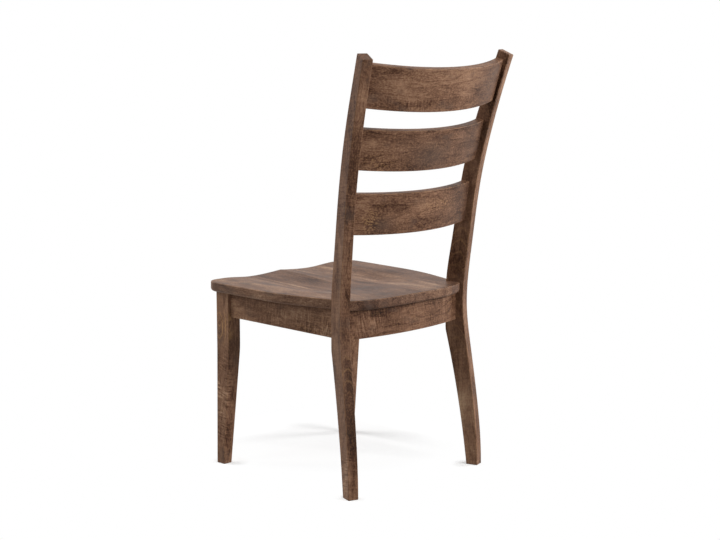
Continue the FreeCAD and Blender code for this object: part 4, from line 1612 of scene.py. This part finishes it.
    def _rubbed_and_highlit(self, tree: NodeTree, colour: NodeSocket, mottle: NodeSocket, rim: NodeSocket) -> NodeSocket:
        """Rub the stain lighter along the eased edges, here more and there less, as wear and as a painted
        highlight.

        Args:
            tree: The material's tree.
            colour: The stain so far.
            mottle: The pattern that makes the rubbing uneven.
            rim: Distance from the board's long edges, in millimetres.

        Returns:
            The colour.
        """
        near = add_node(tree, MAP_RANGE, {"Value": rim, **between(self.wear_and_highlight_width)}, **SMOOTH)
        uneven = add_node(tree, MAP_RANGE, {"Value": mottle, **between(self.wear_and_highlight_share),
                                            "To Max": self.wear_and_highlight_strength}, **SMOOTH)
        wear_and_highlight = add_node(tree, MATHS, {0: near, 1: uneven}, operation="MULTIPLY")
        return add_node(tree, MIX, {0: wear_and_highlight, UNDER: colour, OVER: linear(self.wear_and_highlight)}, MIXED, **COLOURS)


@dataclass(frozen=True)
class PlainWood:
    """Planed bare wood inside the frame: pale, dull and fine grained, with an IOR of about 1.5.

    Its lines are drawn coarser than real pores, so that they show.
    """

    name: str
    dark: str
    light: str
    roughness: float = 0.68
    line_size: float = 1.4
    line_length: float = 45.0
    line_detail: float = 3.0
    relief: float = 0.4
    pore_depth: float = 0.05

    def build(self) -> Material:
        """Make the material.

        Returns:
            The material.
        """
        material = bpy.data.materials.new(self.name)
        tree = empty_tree(material)
        place = add_node(tree, OBJECT_PLACE, None, "Object")
        across, along = 1 / (self.line_size * MM), 1 / (self.line_length * MM)
        scaled = add_node(tree, "ShaderNodeMapping", {"Vector": place, "Scale": (across, along, across)})
        lines = add_node(tree, NOISE, {"Vector": scaled, "Scale": 1.0, "Detail": self.line_detail})
        colour = add_node(tree, MIX, {0: lines, UNDER: linear(self.dark), OVER: linear(self.light)}, MIXED,
                          **COLOURS)
        relief = add_node(tree, "ShaderNodeBump",
                          {"Height": lines, "Strength": self.relief, "Distance": self.pore_depth * MM})
        surface = add_node(tree, "ShaderNodeBsdfPrincipled",
                           {"Base Color": colour, "Roughness": self.roughness, "Normal": relief})
        add_node(tree, "ShaderNodeOutputMaterial", {0: surface})
        return material


@dataclass(frozen=True)
class ZincSteel:
    """Zinc-plated steel screws: cool grey, with fine turning marks and a soft gleam."""

    name: str = "screw_steel"
    colour: str = "#b9b8b3"
    gloss: tuple[float, float] = (0.26, 0.44)
    mark_size: float = 0.35
    mark_detail: float = 2.0

    def build(self) -> Material:
        """Make the material.

        Returns:
            The material.
        """
        material = bpy.data.materials.new(self.name)
        tree = empty_tree(material)
        place = add_node(tree, OBJECT_PLACE, None, "Object")
        marks = add_node(tree, NOISE, {"Vector": place, "Scale": 1 / (self.mark_size * MM),
                                       "Detail": self.mark_detail})
        smooth, rough = self.gloss
        gloss = add_node(tree, MAP_RANGE, {"Value": marks, "To Min": smooth, "To Max": rough})
        surface = add_node(tree, "ShaderNodeBsdfPrincipled",
                           {"Base Color": linear(self.colour), "Metallic": 1.0, "Roughness": gloss})
        add_node(tree, "ShaderNodeOutputMaterial", {0: surface})
        return material


@dataclass
class HiddenParts:
    """Corner blocks, dowels and screws, whose CAD solids have the right shape and get their finish here."""

    block_nodes: tuple[str, ...] = ("corner_block_front_left", "corner_block_front_right",
                                    "corner_block_rear_left", "corner_block_rear_right")
    dowel_nodes: tuple[str, ...] = ("dowels_apron_front", "dowels_apron_rear", "dowels_apron_left",
                                    "dowels_apron_right")
    screw_nodes: tuple[str, ...] = ("corner_block_screws", "seat_screws")

    def dress(self, frame: dict[str, Any]) -> None:
        """Give each kind of part its finish.

        Args:
            frame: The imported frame, as it was loaded.
        """
        finishes = (
            (self.block_nodes, PlainWood("block_wood", "#b08c5f", "#cdae80")),
            (self.dowel_nodes, PlainWood("dowel_beech", "#c09a6c", "#d9ba8c")),
            (self.screw_nodes, ZincSteel()),
        )
        for nodes, finish in finishes:
            material = finish.build()
            for node in nodes:
                for slot in frame["nodes"][node].material_slots:
                    slot.material = material


@dataclass(frozen=True)
class Softbox:
    """A square lamp: the level way to it, its climb in degrees, its size in metres and its watts."""

    name: str
    x: float
    y: float
    climb: float
    size: float
    power: float


@dataclass(frozen=True)
class ShadowSpot:
    """A spot of floor that keeps its shadow: its middle, and the distances at which that fades out."""

    x: float
    y: float
    near: float
    far: float


@dataclass
class Studio:
    """White floor and surroundings, soft plain lamps and the camera, with places in metres."""

    camera_place: tuple[float, float, float] = (2.8529, 2.8364, 1.1223)
    azimuth: float = 134.92
    elevation: float = 8.98
    focal_pixels: float = 1696.11
    picture_width: float = 720.0
    sensor: float = 36.0
    ambient: float = 0.15
    aim: tuple[float, float, float] = (0.0, 0.0, 0.45)
    lamp_distance: float = 4.0
    lamps: tuple[Softbox, ...] = (
        Softbox("right_rear_softbox", -0.89, 0.45, 15.0, 1.1, 90.0),
        Softbox("rear_softbox", -0.28, 0.96, 20.0, 1.5, 126.0),
        Softbox("front_softbox", 0.41, -0.91, 34.0, 2.2, 134.0),
        Softbox("left_softbox", 0.94, -0.33, 20.0, 1.5, 20.0),
        Softbox("overhead", 0.62, 0.78, 74.0, 0.6, 54.0),
    )
    floor_half: float = 40.0
    floor_colour: str = "#b3b3b3"
    floor_seen: str = "#f4f4f4"
    floor_share: float = 0.66
    floor_glow: float = 1.0
    shadow_spots: tuple[ShadowSpot, ...] = (
        ShadowSpot(-0.14, -0.24, 0.12, 0.34), ShadowSpot(0.195, -0.27, 0.025, 0.06),
        ShadowSpot(-0.2, 0.165, 0.015, 0.045), ShadowSpot(0.21, 0.17, 0.015, 0.04))

    def seen(self, tree: NodeTree) -> NodeSocket:
        """Tell the rays that see the background, straight or in a mirror or glass, from those that light.

        Args:
            tree: The tree of the material or the world.

        Returns:
            1 for a ray that sees, and 0 for one that lights.
        """
        rays = add_node(tree, "ShaderNodeLightPath").node.outputs
        seen = rays["Is Camera Ray"]
        for kind in ("Is Glossy Ray", "Is Transmission Ray"):
            seen = add_node(tree, MATHS, {0: seen, 1: rays[kind]}, operation="MAXIMUM")
        return seen

    def world(self) -> None:
        """White as the camera, mirrors and glass see it, and softer as a light."""
        world = bpy.data.worlds.new("studio")
        tree = empty_tree(world)
        strength = add_node(tree, MAP_RANGE, {"Value": self.seen(tree), "To Min": self.ambient})
        light = add_node(tree, "ShaderNodeBackground", {"Color": linear(WHITE), "Strength": strength})
        add_node(tree, "ShaderNodeOutputWorld", {0: light})
        bpy.context.scene.world = world

    def floor(self) -> None:
        """A white floor on which the feet keep a faint soft shadow, and which is clear from below."""
        half = self.floor_half
        corners = [(-half, -half, 0), (half, -half, 0), (half, half, 0), (-half, half, 0)]
        mesh = bpy.data.meshes.new("floor")
        mesh.from_pydata(corners, [], [(0, 1, 2, 3)])
        floor = placed("floor", mesh)
        material = bpy.data.materials.new("white_floor")
        tree = empty_tree(material)
        seen = self.seen(tree)
        place = add_node(tree, OBJECT_PLACE, None, "Object")
        clear = 1.0
        for spot in self.shadow_spots:
            away = add_node(tree, VECTOR_MATHS, {0: place, 1: (spot.x, spot.y, 0.0)}, "Value",
                            operation="DISTANCE")
            cleared = add_node(tree, MAP_RANGE, {"Value": away, **between((spot.near, spot.far)),
                                                 "To Min": 1 - self.floor_share}, **SMOOTH)
            clear = add_node(tree, MATHS, {0: cleared, 1: clear}, operation="MINIMUM")
        share = add_node(tree, MATHS, {0: seen, 1: clear}, operation="MULTIPLY")
        pale = add_node(tree, MIX, {0: seen, UNDER: linear(self.floor_colour),
                                    OVER: linear(self.floor_seen)}, MIXED, **COLOURS)
        matt = add_node(tree, "ShaderNodeBsdfDiffuse", {"Color": pale})
        white = add_node(tree, "ShaderNodeEmission", {"Color": linear(WHITE), "Strength": self.floor_glow})
        mixed = add_node(tree, "ShaderNodeMixShader", {0: share, 1: matt, 2: white})
        under = add_node(tree, "ShaderNodeNewGeometry", None, "Backfacing")
        nothing = add_node(tree, "ShaderNodeBsdfTransparent")
        open_below = add_node(tree, "ShaderNodeMixShader", {0: under, 1: mixed, 2: nothing})
        add_node(tree, "ShaderNodeOutputMaterial", {0: open_below})
        mesh.materials.append(material)

    def light(self) -> None:
        """Hang the soft square lamps round the object, as its floor shadows in the photograph tell."""
        for lamp in self.lamps:
            climb = math.radians(lamp.climb)
            level = Vector((lamp.x, lamp.y, 0)).normalized() * math.cos(climb)
            way = level + Vector((0, 0, math.sin(climb)))
            data = bpy.data.lights.new(lamp.name, "AREA")
            data.shape = "SQUARE"
            data.size = lamp.size
            data.energy = lamp.power
            hung = placed(lamp.name, data)
            hung.location = Vector(self.aim) + way * self.lamp_distance
            hung.rotation_euler = way.to_track_quat("Z", "Y").to_euler()

    def camera(self) -> None:
        """Look along the photograph's direction."""
        lens = bpy.data.cameras.new("camera")
        lens.sensor_fit = "HORIZONTAL"
        lens.sensor_width = self.sensor
        lens.lens = self.focal_pixels * self.sensor / self.picture_width
        camera = placed("camera", lens)
        camera.location = self.camera_place
        turn, climb = math.radians(self.azimuth), math.radians(self.elevation)
        back = Vector((math.sin(turn) * math.cos(climb), -math.cos(turn) * math.cos(climb), math.sin(climb)))
        camera.rotation_euler = back.to_track_quat("Z", "Y").to_euler()
        bpy.context.scene.camera = camera

    def build(self) -> None:
        """Set up the whole studio."""
        self.world()
        self.floor()
        self.light()
        self.camera()
        bpy.context.scene.view_settings.view_transform = "Standard"


@dataclass
class Chair:
    """The whole chair and what each board's wood looks like."""

    plan: ChairPlan
    rear_figures: dict[Side, Figure] = field(default_factory=lambda: {
        Side.LEFT: Figure(
            tone=-0.01, curl=0.4, fine=0.55,
            patches=(Patch(92, 770, 60, 70, -0.06), Patch(100, 640, 60, 60, -0.02),
                     *on_face(0, 10, (140, 900, 60, 70, -0.1)),
                     *on_face(0, 8, (50, 300, 80, 260, 0.1), (75, 50, 60, 60, 0.18))),
            edges=(Patch(150, 900, 60, 80, 0.1), Patch(100, 610, 60, 90, -0.16),
                   Patch(60, 450, 60, 50, -0.08), Patch(54, 330, 60, 60, -0.1),
                   Patch(70, 240, 60, 60, -0.18), Patch(80, 150, 60, 70, -0.28)),
            curls=(*on_face(0, 8, (75, 60, 40, 40, 1.4)), Patch(80, 650, 60, 60, 0.5)),
            arches=(Patch(62, 300, 12, 60, 0.22), *on_face(0, 10, (110, 850, 50, 40, 0.12))),
            smokes_and_sheen=on_face(0, 8, (70, 380, 90, 380, 0.3))),
        Side.RIGHT: Figure(
            shift=(310, 40, 900), tone=0.1, curl=0.3, fine=0.55,
            patches=(Patch(90, 200, 14, 140, -0.12),
                     # On the inner face, 25.5 in, the darkening patches are painted shade beside the slats
                     # and the seat; the one low down lightens it
                     *on_face(25.5, 8, (35, 500, 50, 70, -0.28), (60, 380, 50, 50, -0.02),
                              (65, 120, 50, 110, 0.28), (110, 790, 50, 60, -0.12),
                              (128, 920, 50, 60, -0.38))),
            edges=(Patch(70, 160, 80, 120, -0.18), Patch(60, 550, 80, 120, -0.16)),
            arches=on_face(25.5, 8, (40, 560, 50, 80, 0.2), (45, 330, 50, 80, 0.2))),
    })
    front_figures: dict[Side, Figure] = field(default_factory=lambda: {
        Side.LEFT: Figure(
            shift=(120, 500, 300), tone=0.12, curl=0.15, fine=0.65,
            patches=(Patch(226, 250, 30, 40, -0.1), Patch(226, 180, 30, 30, -0.02),
                     Patch(226, 90, 30, 30, -0.05), *on_face(-352, 10, (205, 100, 14, 100, -0.12))),
            edges=(Patch(205, 240, 60, 120, -0.05), Patch(205, 80, 60, 80, -0.12)),
            curls=(Patch(226, 200, 14, 60, 1.8), Patch(225, 90, 14, 50, 1.3)),
            golds=(Patch(226, 346, 12, 24, 0.35),),
            arches=(Patch(226, 346, 14, 30, 0.9),)),
        Side.RIGHT: Figure(shift=(420, 150, 1300), curl=0.5, fine=0.75),
    })
    side_figures: dict[Side, Figure] = field(default_factory=lambda: {
        Side.LEFT: Figure(
            shift=(700, 60, 100), tone=0.2, curl=0.4, fine=0.85,
            patches=(Patch(400, -180, 20, 60, 0.03), Patch(380, -60, 30, 50, -0.03),
                     # The last patch, a dark line along the apron's top, is a painted shadow under the
                     # seat's edge
                     Patch(427, -180, 8, 600, -0.3)),
            curls=(Patch(378, -55, 22, 70, 1.7), Patch(390, -200, 40, 60, 0.6)),
            golds=(Patch(376, -316, 12, 14, 0.5), Patch(376, -55, 18, 60, 0.25))),
        Side.RIGHT: Figure(shift=(830, 90, 700), curl=0.5),
    })
    board_figures: dict[str, Figure] = field(default_factory=lambda: {
        # At each slat's right end, along about -150, the darker patch and the grey clouding together paint a
        # grey sheen
        "slat_top": Figure(
            shift=(0, 210, 300), tone=0.06, curl=0.2,
            patches=(Patch(42, 175, 14, 50, -0.12), Patch(-38, 150, 14, 42, -0.12),
                     Patch(12, 118, 8, 7, -0.16), Patch(-14, 45, 14, 22, -0.08),
                     Patch(0, -150, 60, 60, -0.15), Patch(-26, -112, 14, 28, -0.06),
                     Patch(28, 40, 20, 50, -0.03), Patch(-40, 20, 14, 40, -0.03)),
            curls=(Patch(-36, 100, 18, 50, 0.9),),
            smokes_and_sheen=(Patch(0, -160, 60, 70, 0.42),)),
        "slat_middle": Figure(
            shift=(200, 450, 1500), tone=-0.04, curl=0.2,
            patches=(Patch(-12, 8, 30, 48, -0.06), Patch(10, 130, 30, 50, -0.02),
                     Patch(0, -160, 60, 60, -0.02)),
            golds=(Patch(-30, 150, 20, 40, 0.25),),
            smokes_and_sheen=(Patch(-14, 5, 36, 60, 0.75), Patch(0, -160, 60, 70, 0.4), Patch(20, 90, 20, 30, 0.15))),
        "slat_bottom": Figure(
            shift=(500, 350, 2600), curl=0.2,
            patches=(Patch(-25, 118, 16, 26, -0.12), Patch(20, 60, 20, 60, -0.08),
                     Patch(-30, 0, 20, 60, -0.09), Patch(0, -140, 60, 70, -0.2),
                     Patch(0, 170, 60, 24, 0.08)),
            golds=(Patch(-12, 148, 22, 18, 0.6), Patch(12, -60, 10, 50, 0.35)),
            smokes_and_sheen=(Patch(-25, 118, 16, 30, 0.6), Patch(0, -160, 60, 70, 0.4))),
        "apron_rear": Figure(
            shift=(640, 270, 3300), tone=-0.04, curl=0.3, fine=0.6,
            patches=(Patch(18, 102, 12, 16, -0.16), Patch(-10, 120, 40, 50, -0.04),
                     # The last patch, a dark line along the apron's top, is a painted shadow under the
                     # seat's rear edge
                     Patch(0, -130, 60, 60, 0.06), Patch(33, 0, 8, 600, -0.4)),
            curls=(Patch(0, 130, 40, 60, 1.0), Patch(0, -120, 40, 60, 0.6))),
    })
    front_apron_figure: Figure = Figure(shift=(900, 800, 200), curl=0.4)
    # The seat boards' grey clouding all over is a painted grey sheen on the seat
    seat_figures: tuple[Figure, ...] = (
        Figure(shift=(0, 640, 0), tone=0.01, gold=0.04, smoke=0.3, fine=1.2,
               patches=(Patch(-170, 60, 40, 8, -0.1), Patch(-190, -200, 30, 60, -0.14),
                        Patch(-150, -120, 8, 120, 0.2))),
        Figure(shift=(300, 720, 500), tone=0.11, gold=0.04, smoke=0.24, fine=1.3,
               patches=(Patch(-60, 72, 60, 8, -0.1), Patch(-123, -340, 8, 90, 0.24),
                        Patch(-85, -60, 12, 110, 0.24), Patch(-118, 20, 10, 50, 0.3),
                        Patch(-60, -180, 12, 120, -0.26), Patch(-40, -40, 16, 90, -0.18),
                        Patch(-100, -200, 6, 80, 0.24))),
        Figure(shift=(600, 810, 900), gold=0.04, smoke=0.32, fine=1.2,
               patches=(Patch(70, 72, 26, 8, -0.05), Patch(45, -270, 24, 60, -0.2),
                        Patch(20, -60, 40, 90, -0.14), Patch(97, -250, 5, 130, 0.42),
                        Patch(70, -150, 8, 120, 0.18), Patch(0, -200, 6, 100, 0.2))),
        Figure(shift=(900, 930, 1700), tone=0.18, gold=0.04, smoke=0.28, fine=1.2,
               patches=(Patch(160, 66, 60, 10, -0.46), Patch(230, -370, 30, 50, 0.1),
                        Patch(150, -200, 12, 120, -0.2), Patch(190, -230, 8, 100, 0.16))),
    )

    def build(self, frame: dict[str, Any]) -> None:
        """Make every visible piece and dress the rest.

        Args:
            frame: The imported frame, as it was loaded.
        """
        maple = StainedMaple().build()
        legs = RearLegs(self.plan)
        legs.build(maple, self.rear_figures)
        FrontLegs(self.plan).build(maple, self.front_figures)
        StraightAprons(self.plan).build(maple, self.side_figures, self.front_apron_figure)
        BentBoards(self.plan, legs).build(maple, self.board_figures)
        Seat(self.plan, legs).build(maple, self.seat_figures)
        HiddenParts().dress(frame)


def main() -> None:
    """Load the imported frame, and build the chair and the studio."""
    logging.basicConfig(level=logging.INFO, format="%(message)s")
    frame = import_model()
    drawing = ChairPlan()
    apron_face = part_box("apron_front")[0][1] / MM
    joint_line = apron_face + drawing.frame_depth - drawing.apron_recess
    Chair(ChairPlan(joint_line=joint_line)).build(frame)
    Studio().build()


if __name__ == "__main__":
    main()
